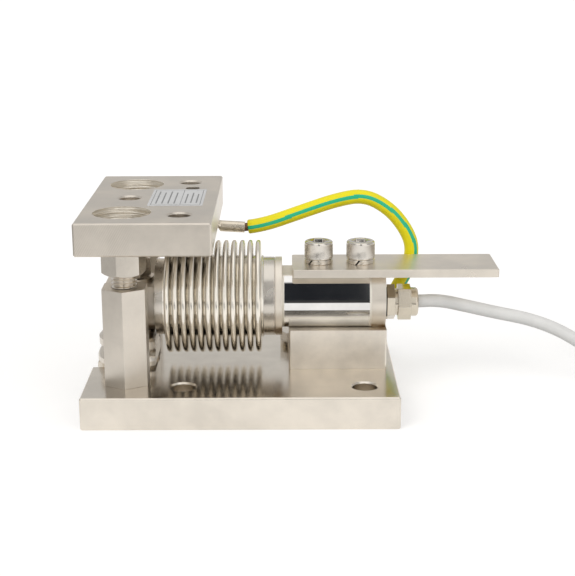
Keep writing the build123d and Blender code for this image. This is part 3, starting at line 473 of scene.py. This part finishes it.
def winding_steps():
    """Where the winding moves on: start and length in degrees, then the column and layer it comes to."""
    steps = []
    angle, column, layer, way = 180.0, 0, 0, 1
    while True:
        shift_start = (FIRST_SHIFT - LAYER_SKEW * layer) % 360.0
        rise_start = (shift_start - RISE_ARC) % 360.0
        if 0 <= column + way < len(COIL_COLUMNS):
            start = angle + (shift_start - angle) % 360.0
            column += way
            steps.append((start, SHIFT_ARC, column, layer))
            angle = start + SHIFT_ARC
            continue
        start = angle + (rise_start - angle) % 360.0
        layer += 1
        way = -way
        steps.append((start, RISE_ARC, column, layer))
        angle = start + RISE_ARC
        if layer == COIL_LAYERS:
            steps.append((angle, SHIFT_ARC, column + way, layer))
            return steps, angle + SHIFT_ARC


def winding_points():
    """Control points of the coiled turns and of the tail on top of them."""
    steps, top_angle = winding_steps()
    spread = 1.0 / (0.75 + 0.25 * math.cos(math.radians(TURN_STEP)))
    points = []
    angle = 180.0
    while angle < top_angle + TAIL_ARC - TURN_STEP / 2:
        points.append(winding_point(angle, steps, spread))
        angle += TURN_STEP
    points.append(winding_point(top_angle + TAIL_ARC, steps, 1.0))
    return points


def winding_point(angle, steps, spread):
    """One control point of the winding."""
    column, layer = 0.0, 0.0
    for start, length, next_column, next_layer in steps:
        if angle <= start:
            break
        done = min(1.0, (angle - start) / length)
        column += (next_column - column) * done
        layer += (next_layer - layer) * done
    radius = COIL_COLUMNS[0] - (COIL_COLUMNS[0] - COIL_COLUMNS[1]) * column
    height = COIL_BOTTOM + CABLE_DIAMETER * (0.5 + layer)
    return coil_place(radius * spread, angle, height)


class MODULE_OT_stage(bpy.types.Operator):
    """Floor, lamps, sky and camera"""

    bl_idname = "module.stage"
    bl_label = "Stage"

    def execute(self, context):
        scene = context.scene
        look = scene.module_stage
        scene.view_settings.view_transform = "Standard"

        floor = skin("floor", [[(-9, -9, 0), (9, -9, 0), (9, 9, 0), (-9, 9, 0)]], (False, True))
        floor.data.materials.append(self.floor_finish(look))

        self.lamp("key_lamp", look.key_power, 35.0, (48.0, -8.0, -32.0), (1.0, 0.975, 0.94))
        self.lamp("fill_lamp", look.fill_power, 40.0, (62.0, 0.0, 38.0), (1.0, 0.98, 0.96))

        scene.world = bpy.data.worlds.new("studio_sky")
        scene.world.use_nodes = True
        self.sky(scene.world.node_tree, look.sky_strength)

        camera = put("camera", bpy.data.cameras.new("camera"))
        camera.data.sensor_width = 36.0
        camera.data.lens = look.camera_lens
        camera.data.clip_start = 0.02
        turn = (
            Matrix.Rotation(math.radians(-0.125), 4, "Z")
            @ Matrix.Rotation(math.radians(90.0) - look.camera_pitch, 4, "X")
            @ Matrix.Rotation(math.radians(-0.202), 4, "Z")
        )
        camera.matrix_world = Matrix.Translation(look.camera_place) @ turn
        scene.camera = camera
        return {"FINISHED"}

    def floor_finish(self, look):
        """Pale floor that keeps the shadow and shows as white. Mirrors show where it ends in front."""
        material, tree, shader = shader_tree("studio_floor")
        shader.inputs["Base Color"].default_value = (*look.floor_colour, 1.0)
        shader.inputs["Roughness"].default_value = 0.9
        shader.inputs["Specular IOR Level"].default_value = 0.0
        none, dim, glow = [
            add_node(tree, "ShaderNodeEmission", Strength=strength).outputs["Emission"]
            for strength in (0.0, FLOOR_DIM, look.floor_glow)
        ]
        total = tree.nodes.new("ShaderNodeAddShader")
        tree.links.new(shader.outputs["BSDF"], total.inputs[0])
        tree.links.new(mix_shaders(tree, self.seen_rays(tree), none, glow), total.inputs[1])
        ended = mix_shaders(tree, self.floor_end(tree), total.outputs["Shader"], dim)
        tree.links.new(ended, tree.nodes["Material Output"].inputs["Surface"])
        return material

    def floor_end(self, tree):
        """How far the lit floor has ended, for mirrored rays: in front in a gap, and slowly to the left."""
        across, ahead = spread_of(tree, "X"), spread_of(tree, "Y")
        front = remap(tree, ahead, *FLOOR_FRONT)
        for lean, start, end in FLOOR_GAP:
            line = calculate(tree, "ADD", across, calculate(tree, "MULTIPLY", ahead, -lean))
            front = calculate(tree, "MULTIPLY", front, remap(tree, line, start, end))
        start, end, most = FLOOR_LEFT
        ended = calculate(tree, "MAXIMUM", front, remap(tree, across, start, end, 0.0, most))
        mirrored = tree.nodes.new("ShaderNodeLightPath").outputs["Is Glossy Ray"]
        return calculate(tree, "MULTIPLY", ended, mirrored)

    def seen_rays(self, tree):
        """1 for what the camera, a mirror or a glass shows."""
        rays = tree.nodes.new("ShaderNodeLightPath").outputs
        seen = calculate(tree, "MAXIMUM", rays["Is Camera Ray"], rays["Is Glossy Ray"])
        return calculate(tree, "MAXIMUM", seen, rays["Is Transmission Ray"])

    def lamp(self, name, power, width, turn, colour):
        """A broad soft lamp a long way off."""
        lamp = put(name, bpy.data.lights.new(name, "SUN"))
        lamp.data.energy = power
        lamp.data.angle = math.radians(width)
        lamp.data.color = colour
        lamp.visible_glossy = False
        lamp.rotation_euler = [math.radians(angle) for angle in turn]

    def sky(self, tree, strength):
        """Even light for the object, and a studio that metal reflects: walls, soft boxes and ceiling."""
        nodes = tree.nodes
        plain = nodes["Background"]
        plain.inputs["Color"].default_value = (1.0, 0.985, 0.965, 1.0)
        plain.inputs["Strength"].default_value = strength
        place = nodes.new("ShaderNodeTexCoord")
        split = nodes.new("ShaderNodeSeparateXYZ")
        tree.links.new(place.outputs["Generated"], split.inputs["Vector"])
        across, ahead, up = split.outputs
        turn = calculate(tree, "ARCTAN2", across, calculate(tree, "MULTIPLY", ahead, -1.0))
        walls = nodes.new("ShaderNodeValToRGB")
        self.ramp(walls.color_ramp.elements, SKY_WALLS)
        tree.links.new(remap(tree, turn, -math.pi, math.pi), walls.inputs["Fac"])
        seen = nodes.new("ShaderNodeBackground")
        tree.links.new(walls.outputs["Color"], seen.inputs["Color"])
        gap = remap(tree, ahead, 0.0, -0.05)
        for side in SKY_GAP:
            gap = calculate(tree, "MULTIPLY", gap, remap(tree, across, *side))
        lay_over(tree, gap, GAP_COLOUR, seen.inputs["Color"])
        start, full, bright = SKY_CEILING
        lay_over(tree, remap(tree, up, start, full), warm(bright), seen.inputs["Color"])
        both = [node.outputs["Background"] for node in (plain, seen)]
        sky = mix_shaders(tree, self.seen_rays(tree), *both)
        tree.links.new(sky, nodes["World Output"].inputs["Surface"])

    def ramp(self, elements, stops):
        """Fill a colour ramp from stops of place and brightness."""
        elements.remove(elements[1])
        for index, (place, bright) in enumerate(stops):
            stop = elements[0] if index == 0 else elements.new(place)
            stop.position = place
            stop.color = (*warm(bright), 1.0)


class MODULE_OT_signal_cable(bpy.types.Operator):
    """Grey signal cable with its coil, its ties and its stripped cores"""

    bl_idname = "module.signal_cable"
    bl_label = "Signal cable"

    def execute(self, context):
        look = context.scene.module_cords
        route = [(x, 0.0, z) for x, z in CABLE_ROUTE]
        lead = (COIL_CENTRE[0] - LEAD_IN, 0.0, CABLE_ROUTE[-1][1])
        points = [*route, lead, *winding_points()]
        cable = round_line("signal_cable_line", points, look.cable_diameter / 2, 7)
        jacket = plastic_finish("cable_jacket", look.jacket_colour, 0.42)
        settle(cable, jacket, "signal_cable", "cable_coil", "cable_tail")
        cores = self.cores()
        ties = self.ties(context.scene.module_parts.tie_thickness)
        return {"FINISHED"}

    def cores(self):
        """Four stripped cores with bare tips."""
        height = COIL_BOTTOM + CABLE_DIAMETER * (COIL_LAYERS + 0.5)
        end = Vector(coil_place(COIL_COLUMNS[1], TAIL_ARC, height))
        turn = math.radians(90.0 + TAIL_ARC)
        along = Vector((-math.sin(turn), math.cos(turn), 0.0))
        across = Vector((math.cos(turn), math.sin(turn), 0.0))
        drop = Vector((0.0, 0.0, -0.0009))
        colours = {
            "red": (0.55, 0.03, 0.02),
            "black": (0.02, 0.02, 0.02),
            "green": (0.03, 0.30, 0.08),
            "white": (0.75, 0.75, 0.73),
        }
        copper = metal_finish("core_strands", (0.65, 0.33, 0.18), 0.3, 4000.0)
        pieces = []
        for index, (hue, colour) in enumerate(colours.items()):
            step = (index - 1.5) * CORE_GAP
            foot = end + across * step + drop
            bend = foot + along * CORE_LENGTHS[0]
            tip = bend + along * CORE_LENGTHS[1] + across * step * 3 + drop
            middle = (bend + tip) / 2 + Vector((0, 0, 0.0006))
            core = round_line("core_" + hue, [foot, bend, middle, tip], CORE_RADIUS)
            finish = plastic_finish("core_skin_" + hue, colour, 0.4)
            pieces.append(settle(core, finish, *(["cable_cores"] if index == 0 else [])))
            way = (tip - middle).normalized()
            bare = [tip + way * reach for reach in (-0.001, 0.002, 0.004)]
            pieces.append(settle(round_line("core_tip_" + hue, bare, 0.0003), copper))
        return pieces

    def ties(self, thickness):
        """Two nylon straps round the coil, one over the tail too."""
        nylon = plastic_finish("tie_nylon", (0.74, 0.74, 0.70), 0.35)
        pieces = []
        edge = thickness * 0.25
        wide = TIE_HALF_WIDTH
        rows = [(-wide, 0.0), (-wide, 0.75), (edge - wide, 1.0)]
        rows += [(-side, lift) for side, lift in reversed(rows)]
        for index, (angle, over_tail) in enumerate(TIES):
            inner = self.section(0.0, over_tail)
            outer = self.section(thickness, over_tail)
            turn = math.radians(90.0 + angle)
            outward = Vector((math.cos(turn), math.sin(turn), 0.0))
            tangent = Vector((-math.sin(turn), math.cos(turn), 0.0))
            centre = Vector((*COIL_CENTRE, 0.0)) + outward * COIL_COLUMNS[1]
            rings = []
            for a, b in zip(inner, outer):
                ring = []
                for side, lift in rows:
                    u = a[0] + (b[0] - a[0]) * lift
                    v = a[1] + (b[1] - a[1]) * lift
                    ring.append(centre + outward * u + tangent * side + Vector((0, 0, v)))
                rings.append(ring)
            rings.append(rings[0])
            strap = skin("coil_tie_" + str(index + 1), rings, (False, False))
            pieces.append(settle(strap, nylon, *(["coil_ties"] if index == 0 else [])))
            head_centre = centre + outward * (TIE_HEAD[0] + thickness) + Vector((0, 0, TIE_HEAD[1]))
            head = self.buckle("coil_tie_head_" + str(index + 1), head_centre, outward, tangent)
            pieces.append(settle(head, nylon))
        return pieces

    def section(self, slack, over_tail):
        """Outline round the coil's section, as distance from its middle and height."""
        half = (COIL_COLUMNS[0] - COIL_COLUMNS[2]) / 2 + CABLE_DIAMETER / 2
        top = COIL_BOTTOM + COIL_LAYERS * CABLE_DIAMETER
        bend = CABLE_DIAMETER / 3
        lean = math.degrees(math.atan2(CABLE_DIAMETER * 0.9, half))
        outline = []
        corners = (
            (half - bend, COIL_BOTTOM + bend, -90.0),
            (half - bend, top - bend, 0.0),
            (-half + bend, top - bend, 90.0),
            (-half + bend, COIL_BOTTOM + bend, 180.0),
        )
        for index, (u, v, start) in enumerate(corners):
            first, last = start, start + 90.0
            if over_tail and index == 1:
                last = start + 90.0 - lean
            if over_tail and index == 2:
                tail = (0.0, top + CABLE_DIAMETER / 2)
                outline += arc(tail, CABLE_DIAMETER / 2 + slack, 90.0 - lean, 2 * lean, 8)
                first = start + lean
            outline += arc((u, v), bend + slack, first, last - first, 5)
        return outline

    def buckle(self, name, centre, outward, tangent):
        """The small locking head of a strap."""
        rings = []
        for height, grow in ((-0.0026, 0.75), (-0.0022, 1.0), (0.0022, 1.0), (0.0026, 0.75)):
            ring = []
            for u, w in ((-1, -1), (1, -1), (1, 1), (-1, 1)):
                side = outward * (0.0015 * u * grow) + tangent * (0.0027 * w * grow)
                ring.append(centre + side + Vector((0, 0, height)))
            rings.append(ring)
        return skin(name, rings, smooth=False)


class MODULE_OT_earth_wire(bpy.types.Operator):
    """Yellow and green earth wire, its lugs, bare ends and screws"""

    bl_idname = "module.earth_wire"
    bl_label = "Earth wire"

    def execute(self, context):
        look = context.scene.module_cords
        metals = context.scene.module_metals
        route = [(x, EARTH_LINE_Y, z) for x, z in EARTH_ROUTE]
        line = line_points("earth_line", route)
        girth = 60
        radius = look.wire_diameter / 2
        level = Vector((0.0, 1.0, 0.0))
        last = len(line) - 1
        rings = []
        for index, point in enumerate(line):
            up = (line[min(index + 1, last)] - line[max(index - 1, 0)]).cross(level).normalized()
            if index in (0, last):
                way = (line[1] - line[0]) if index == 0 else (line[-2] - line[-1])
                rings.append(self.ring(point, up, level, radius * 0.86, girth))
                point = point + way.normalized() * radius * 0.14
            rings.append(self.ring(point, up, level, radius, girth))
        rings[-1], rings[-2] = rings[-2], rings[-1]
        wire = skin("earth_wire_skin", rings)
        wire.data.materials.append(plastic_finish("earth_yellow", look.earth_yellow, 0.38, spread=0.04))
        wire.data.materials.append(plastic_finish("earth_green", look.earth_green, 0.38, spread=0.04))
        half = look.stripe_width * girth / 2
        for face in wire.data.polygons[:-2]:
            row, step = divmod(face.index, girth)
            centre = girth * self.stripe_place(row / last)
            if abs((step - centre + girth / 4) % (girth / 2) - girth / 4) < half:
                face.material_index = 1
        settle(wire, None, "earth_wire")
        dress(metal_finish("lug_tin", (0.70, 0.63, 0.52), 0.24), "earth_lug_top", "earth_lug_base")
        copper = metal_finish("bare_copper", (0.20, 0.12, 0.08), 0.45, 5000.0, 0.0002)
        dress(copper, "earth_core_top", "earth_core_base")
        zinc = metal_finish("earth_screw_zinc", metals.nut_colour, 0.25)
        dress(zinc, "earth_screw_top", "earth_screw_base", "earth_washer_top", "earth_washer_base")
        return {"FINISHED"}

    def stripe_place(self, along):
        """Where the front stripe's middle lies on the girth: 0 is the outer side, 0.25 the front."""
        stops = ((0.0, 0.235), (0.36, 0.20), (0.55, 0.15), (0.68, 0.12), (1.0, 0.10))
        for (start, first), (end, last) in zip(stops, stops[1:]):
            if along <= end:
                return first + (last - first) * (along - start) / (end - start)
        return stops[-1][1]

    def ring(self, point, up, level, radius, girth):
        """A ring of points across the wire. It starts at the top, and a quarter on faces the front."""
        return [point + up * u - level * v for u, v in arc((0.0, 0.0), radius, 0.0, 360.0, girth, last=False)]


class MODULE_OT_plates(bpy.types.Operator):
    """Finish of the base plate, the block and the top plate"""

    bl_idname = "module.plates"
    bl_label = "Plates"

    def execute(self, context):
        metals = context.scene.module_metals
        polished = metal_finish("base_nickel", metals.plate_colour, metals.plate_roughness, 1500.0, 0.000012)
        dress(polished, "base_plate")
        # Painted light: the block's nickel is the plate's made 14% lighter, a lit copy of the same finish
        block_lit_colour = shade(metals.plate_colour, 1.14)
        block = metal_finish("block_nickel_painted_lit", block_lit_colour, 0.36, 1500.0, 0.00002, stain=0.12)
        dress(block, "spacer_block")
        blasted = metal_finish("top_nickel", metals.top_colour, 0.36, 2600.0, 0.00006)
        self.mill_bores_and_paint_light(blasted)
        self.mill_front(blasted)
        dress(blasted, "top_plate")
        return {"FINISHED"}

    def mill_front(self, finish):
        """Faint slanted cutter marks on the left half of the top plate's front."""
        tree = finish.node_tree
        across, up = spread_of(tree, "X"), spread_of(tree, "Z")
        lift = calculate(tree, "MULTIPLY", up, -0.5)
        slope = calculate(tree, "ADD", calculate(tree, "MULTIPLY", across, 0.87), lift)
        waves = calculate(tree, "SINE", calculate(tree, "MULTIPLY", slope, 6000.0))
        lines = remap(tree, waves, -0.2, 1.0, 0.0, 0.30)
        front = remap(tree, spread_of(tree, "Y"), -0.0655, -0.0658)
        left = remap(tree, across, -0.046, -0.060)
        patches = remap(tree, noise(tree, object_place(tree), 90.0), 0.35, 0.6, 0.2, 1.0)
        for mask in (front, left, patches):
            lines = calculate(tree, "MULTIPLY", lines, mask)
        lay_over(tree, lines, (0.46, 0.41, 0.34), tree.nodes["Principled BSDF"].inputs["Base Color"])

    def mill_bores_and_paint_light(self, finish):
        """Level milling rings on the walls of the two deep bores, which catch the light, and painted light:
        the walls are laid over in pale cream so they read bright.
        """
        tree = finish.node_tree
        shader = tree.nodes["Principled BSDF"]
        along = calculate(tree, "SUBTRACT", spread_of(tree, "X"), BORE_PLACE[0])
        across = calculate(tree, "SUBTRACT", calculate(tree, "ABSOLUTE", spread_of(tree, "Y")), BORE_PLACE[1])
        squares = [calculate(tree, "MULTIPLY", way, way) for way in (along, across)]
        reach = calculate(tree, "SQRT", calculate(tree, "ADD", *squares))
        inside = remap(tree, reach, BORE_REACH, BORE_REACH - 0.0002)
        change_roughness(tree, shader, inside, 0.42)
        # Painted light: pale cream over the bore walls stands in for the light they catch
        lay_over(tree, inside, (0.93, 0.88, 0.79), shader.inputs["Base Color"])
        rings = noise(tree, object_place(tree, (30.0, 30.0, 1600.0)), 1.0, 1.0)
        bump = add_node(tree, "ShaderNodeBump", Strength=1.0, Distance=0.0006)
        tree.links.new(calculate(tree, "MULTIPLY", rings, inside), bump.inputs["Height"])
        tree.links.new(shader.inputs["Normal"].links[0].from_socket, bump.inputs["Normal"])
        tree.links.new(bump.outputs["Normal"], shader.inputs["Normal"])


class MODULE_OT_load_cell(bpy.types.Operator):
    """Finish of the load cell, its collars, covers and inner parts"""

    bl_idname = "module.load_cell"
    bl_label = "Load cell"

    def execute(self, context):
        metals = context.scene.module_metals
        turned = metal_finish("turned_steel", metals.cell_colour, 0.24, 60.0, 0.00002, (60.0, 1.0, 1.0))
        # Painted shade: golden brown on the collars' lowest part
        self.paint_low_shade(turned, 0.0350, 0.0335)
        dress(turned, "collar_fixed", "collar_free")
        body_colour = shade(metals.plate_colour, 1.1)
        milled = metal_finish("milled_steel", body_colour, 0.40, 60.0, 0.00002, (60.0, 1.0, 1.0))
        # Painted shade: golden brown on the body's lowest part
        self.paint_low_shade(milled, 0.0430, 0.0418)
        dress(milled, "load_cell_body")
        polish = {"grain": 500.0, "depth": 0.000002, "rounding": 0.0}
        mirror = metal_finish("mirror_steel", (0.80, 0.79, 0.77), metals.mirror_roughness, **polish)
        self.ground_rim(mirror, "side_cover_front")
        dress(mirror, "side_cover_front", "side_cover_rear")
        dress(plastic_finish("gauge_foil", (0.60, 0.30, 0.08), 0.3), "strain_gauges")
        dress(plastic_finish("board_green", (0.02, 0.12, 0.05), 0.35), "bridge_board")
        dress(plastic_finish("lead_skin", (0.70, 0.70, 0.66), 0.45), "bridge_leads")
        return {"FINISHED"}

    def paint_low_shade(self, finish, start, end):
        """Painted shade: golden brown in patches from a height on downwards, on the shaded underside."""
        tree = finish.node_tree
        band = remap(tree, spread_of(tree, "Z"), start, end, 0.0, 0.85)
        patches = remap(tree, noise(tree, object_place(tree), 260.0, 4.0), 0.35, 0.6, 0.35, 1.0)
        low_shade = calculate(tree, "MULTIPLY", band, patches)
        # Painted shade laid over the base colour
        lay_over(tree, low_shade, (0.36, 0.235, 0.10), tree.nodes["Principled BSDF"].inputs["Base Color"])

    def ground_rim(self, finish, cover):
        """The cover's two ends are ground matt."""
        tree = finish.node_tree
        shader = tree.nodes["Principled BSDF"]
        low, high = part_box(cover)
        along = spread_of(tree, "X")
        left = remap(tree, along, low[0] + 0.0013, low[0] + 0.0011)
        right = remap(tree, along, high[0] - 0.0013, high[0] - 0.0011)
        rim = calculate(tree, "MAXIMUM", left, right)
        change_roughness(tree, shader, rim, 0.55)
        lay_over(tree, rim, (0.88, 0.84, 0.76), shader.inputs["Base Color"])


class MODULE_OT_bellows(bpy.types.Operator):
    """Folded metal bellows with round crests"""

    bl_idname = "module.bellows"
    bl_label = "Bellows"

    def execute(self, context):
        parts = context.scene.module_parts
        metals = context.scene.module_metals
        low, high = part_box("bellows")
        outside = self.fold(parts, 0.0, low[0], high[0])
        inside = self.fold(parts, FOLD_WALL, low[0], high[0])
        rings = [cell_ring(radius, x, 144) for x, radius in [*outside, *reversed(inside), outside[0]]]
        bellows = skin("bellows_skin", rings, (False, False))
        rolled = (90.0, 0.000003, (40.0, 1.0, 1.0), 0.05, 0.0)
        steel = metal_finish("bellows_steel", metals.bellows_colour, metals.bellows_roughness, *rolled)
        settle(bellows, steel, "bellows")
        return {"FINISHED"}

    def fold(self, parts, wall, start, end):
        """Half section of the folded sheet's outer face, or its inner one at the wall's thickness."""
        half = parts.pitch / 2
        crest_centre = parts.crest_radius - FOLD_HALF_WIDTH
        bend = half - FOLD_HALF_WIDTH
        root_centre = parts.root_radius + bend
        crest_bend = FOLD_HALF_WIDTH - wall
        root_bend = bend + wall
        profile = [(start, parts.root_radius - wall)]
        for index in range(FOLD_COUNT):
            crest = start + FOLD_CUFF + half + index * parts.pitch
            profile += arc((crest - half, root_centre), root_bend, -90.0, 90.0, 5)
            profile += arc((crest, crest_centre), crest_bend, 180.0, -180.0, 12)
            profile += arc((crest + half, root_centre), root_bend, 180.0, 90.0, 5, last=False)
        profile.append((end, parts.root_radius - wall))
        return profile


class MODULE_OT_fasteners(bpy.types.Operator):
    """Posts, threaded studs, nuts, washers, clamp bar and knurled clamp screws"""

    bl_idname = "module.fasteners"
    bl_label = "Fasteners"

    def execute(self, context):
        metals = context.scene.module_metals
        parts = context.scene.module_parts
        nut_steel = metal_finish("nut_steel", metals.nut_colour, 0.24)
        post_steel = metal_finish("post_steel", metals.nut_colour, 0.36, 900.0, 0.00003, (1.0, 1.0, 0.05))
        # Painted light: the clamp bar's colour is the plate's nickel made 10% lighter so its front reads as
        # lit
        bar_lit_colour = shade(metals.plate_colour, 1.10)
        bar_steel_painted_lit = metal_finish("bar_steel_painted_lit", bar_lit_colour, 0.33, 900.0, 0.00003, (0.04, 1.0, 1.0))
        screw_steel = metal_finish("screw_steel", metals.screw_colour, 0.13)
        dress(post_steel, "hex_post_front", "hex_post_rear")
        for kind in ("nut", "washer", "thin_nut"):
            dress(nut_steel, "post_" + kind + "_front", "post_" + kind + "_rear")
        for kind in ("jam_nut", "upper_nut", "upper_washer", "lower_washer", "lower_nut", "stop_washer"):
            dress(nut_steel, "load_" + kind)
        dress(bar_steel_painted_lit, "clamp_bar")
        thread_steel = metal_finish("thread_steel", metals.nut_colour, 0.16, 400.0, 0.000004, rounding=0.0)
        for name in ("post_stud_front", "post_stud_rear"):
            self.stud(name, 0.007, parts.stud_pitch, thread_steel)
        self.stud("load_stud", 0.006, parts.load_pitch, thread_steel)
        for name in ("clamp_screw_1", "clamp_screw_2"):
            self.cap_screw(name, parts.knurl_depth, screw_steel)
        for name, cut in (("lock_washer_1", 232.0), ("lock_washer_2", 255.0)):
            self.lock_washer(name, cut, screw_steel)
        return {"FINISHED"}

    def stud(self, name, radius, pitch, finish):
        """Rod with a real helical thread and bevelled ends."""
        low, high, centre = upright_box(name)
        depth = 0.6 * pitch
        rows = int((high[2] - low[2]) / pitch * 10)
        rings = []
        for row in range(rows + 1):
            z = low[2] + (high[2] - low[2]) * row / rows
            from_end = min(z - low[2], high[2] - z)
            limit = radius - max(0.0, depth - from_end)

            def radius_at(angle, z=z, limit=limit):
                phase = (z / pitch - angle / (2 * math.pi)) % 1.0
                flank = min(1.0, max(0.0, (abs(phase - 0.5) * 2 - 0.12) / 0.76))
                return min(limit, radius - depth * flank)

            rings.append(upright_ring(centre, radius_at, z, 64))
        settle(skin(name + "_thread", rings), finish, name)

    def lock_washer(self, name, cut, finish):
        """Spring washer with a slanted cut. Cut is the angle of its middle, in degrees from +X."""
        low, high, centre = upright_box(name)
        outer = (high[0] - low[0]) / 2
        inner, tall, edge = 0.0052, high[2] - low[2], 0.0003
        outline = [(inner, 0.0), (outer - edge, 0.0), (outer, edge)]
        outline += [(radius, tall - height) for radius, height in reversed(outline)]
        gap, slant = 8.0, 14.0
        edges = []
        for radius, height in outline:
            start = cut + gap / 2 + slant * (height / tall - 0.5)
            around = arc(centre, radius, start, 360.0 - gap, 96)
            edges.append([(*place, low[2] + height) for place in around])
        settle(skin(name + "_spring", list(zip(*edges)), smooth=False), finish, name)

    def cap_screw(self, name, knurl_depth, finish):
        """Socket head screw: knurled head, hexagon socket and plain shank."""
        low, high, centre = upright_box(name)
        top = high[2]
        under = top - HEAD_HEIGHT

        def plain(radius):
            return lambda angle: radius

        def knurled(radius):
            return lambda angle: radius - knurl_depth * (0.5 + 0.5 * math.cos(KNURL_GROOVES * angle))

        def hexagon(apothem):
            return lambda angle: apothem / math.cos((angle % (math.pi / 3)) - math.pi / 6)

        levels = [
            (plain(0.0036), low[2]),
            (plain(0.0046), low[2] + 0.001),
            (plain(0.0049), under - 0.0003),
            (plain(0.0060), under),
            (plain(0.0076), under),
            (plain(0.0080), under + 0.0004),
            (plain(0.0080), under + 0.0008),
            (knurled(0.0080), under + 0.0012),
            (knurled(0.0080), under + 0.0082),
            (plain(0.0080), under + 0.0086),
            (plain(0.00795), under + 0.0091),
            (plain(0.00775), under + 0.0096),
            (plain(0.0073), under + 0.0099),
            (plain(0.0069), top),
            (hexagon(0.00425), top),
            (hexagon(0.0040), top - 0.0003),
            (hexagon(0.0040), top - 0.0048),
            (plain(0.0038), top - 0.0050),
            (plain(0.0006), top - 0.0058),
        ]
        rings = [upright_ring(centre, radius_at, z, 4 * KNURL_GROOVES) for radius_at, z in levels]
        settle(skin(name + "_head", rings), finish, name)


class MODULE_OT_gland(bpy.types.Operator):
    """Finish of the cable gland and its seals"""

    bl_idname = "module.gland"
    bl_label = "Cable gland"

    def execute(self, context):
        metals = context.scene.module_metals
        dress(metal_finish("gland_nickel", metals.gland_colour, 0.16), "gland_body", "gland_cap_nut")
        dress(plastic_finish("seal_rubber", (0.02, 0.02, 0.02), 0.6), "gland_ring", "gland_seal")
        return {"FINISHED"}


class MODULE_OT_rating_label(bpy.types.Operator):
    """Pale film label with plain ruled fields"""

    bl_idname = "module.rating_label"
    bl_label = "Label"

    def execute(self, context):
        parts = context.scene.module_parts
        dress(plastic_finish("label_film", parts.label_colour, 0.3, coat=0.2), "rating_label")
        low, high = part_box("rating_label")
        ink = plastic_finish("label_ink", (0.20, 0.205, 0.21), 0.4)
        width = high[0] - low[0]
        depth = high[1] - low[1]
        top = high[2] + 0.00002
        # Ruled lines and bars, each as its left, front, right and back in shares of the label
        fields = [(0.58, 0.06, 0.592, 0.94), (0.05, 0.05, 0.062, 0.95), (0.94, 0.05, 0.952, 0.95)]
        fields += [(0.05, 0.05, 0.952, 0.056), (0.05, 0.944, 0.952, 0.95)]
        fields += [(0.13 + 0.11 * row, 0.12, 0.155 + 0.11 * row, 0.86 - 0.07 * (row % 2)) for row in range(4)]
        fields += [(0.66 + 0.10 * row, 0.15, 0.685 + 0.10 * row, 0.70 + 0.07 * (row % 2)) for row in range(3)]
        points, faces = [], []
        for left, front, right, back in fields:
            base = len(points)
            for u, v in ((left, front), (right, front), (right, back), (left, back)):
                points.append((low[0] + width * u, low[1] + depth * v, top))
            faces.append((base, base + 1, base + 2, base + 3))
        mesh = bpy.data.meshes.new("label_ruling")
        mesh.from_pydata(points, [], faces)
        settle(put("label_ruling", mesh), ink)
        return {"FINISHED"}


class MODULE_PT_sidebar(bpy.types.Panel):
    """Sidebar panel of the weighing module"""

    bl_idname = "MODULE_PT_sidebar"
    bl_label = "Weighing Module"
    bl_space_type = "VIEW_3D"
    bl_region_type = "UI"
    bl_category = "Weighing Module"

    def draw(self, context):
        for operator in OPERATORS:
            self.layout.operator(operator.bl_idname)
        for setting in SETTINGS:
            group = getattr(context.scene, setting)
            box = self.layout.box()
            for name in group.bl_rna.properties.keys():
                if name not in ("rna_type", "name"):
                    box.prop(group, name)


SETTINGS = {
    "module_metals": MetalFinish,
    "module_cords": CordLook,
    "module_parts": FineParts,
    "module_stage": StageLook,
}
OPERATORS = (
    MODULE_OT_stage,
    MODULE_OT_signal_cable,
    MODULE_OT_earth_wire,
    MODULE_OT_plates,
    MODULE_OT_load_cell,
    MODULE_OT_bellows,
    MODULE_OT_fasteners,
    MODULE_OT_gland,
    MODULE_OT_rating_label,
)
CLASSES = (*SETTINGS.values(), *OPERATORS, MODULE_PT_sidebar)


def register():
    """Make the settings, operators and panel known."""
    for kind in CLASSES:
        bpy.utils.register_class(kind)
    for setting, kind in SETTINGS.items():
        setattr(bpy.types.Scene, setting, bpy.props.PointerProperty(type=kind))


def unregister():
    """Take the settings, operators and panel away again."""
    for setting in SETTINGS:
        delattr(bpy.types.Scene, setting)
    for kind in reversed(CLASSES):
        bpy.utils.unregister_class(kind)


def main():
    """Dress the whole module."""
    register()
    bpy.ops.module.stage()
    bpy.ops.module.signal_cable()
    bpy.ops.module.earth_wire()
    bpy.ops.module.plates()
    bpy.ops.module.load_cell()
    bpy.ops.module.bellows()
    bpy.ops.module.fasteners()
    bpy.ops.module.gland()
    bpy.ops.module.rating_label()


if __name__ == "__main__":
    main()
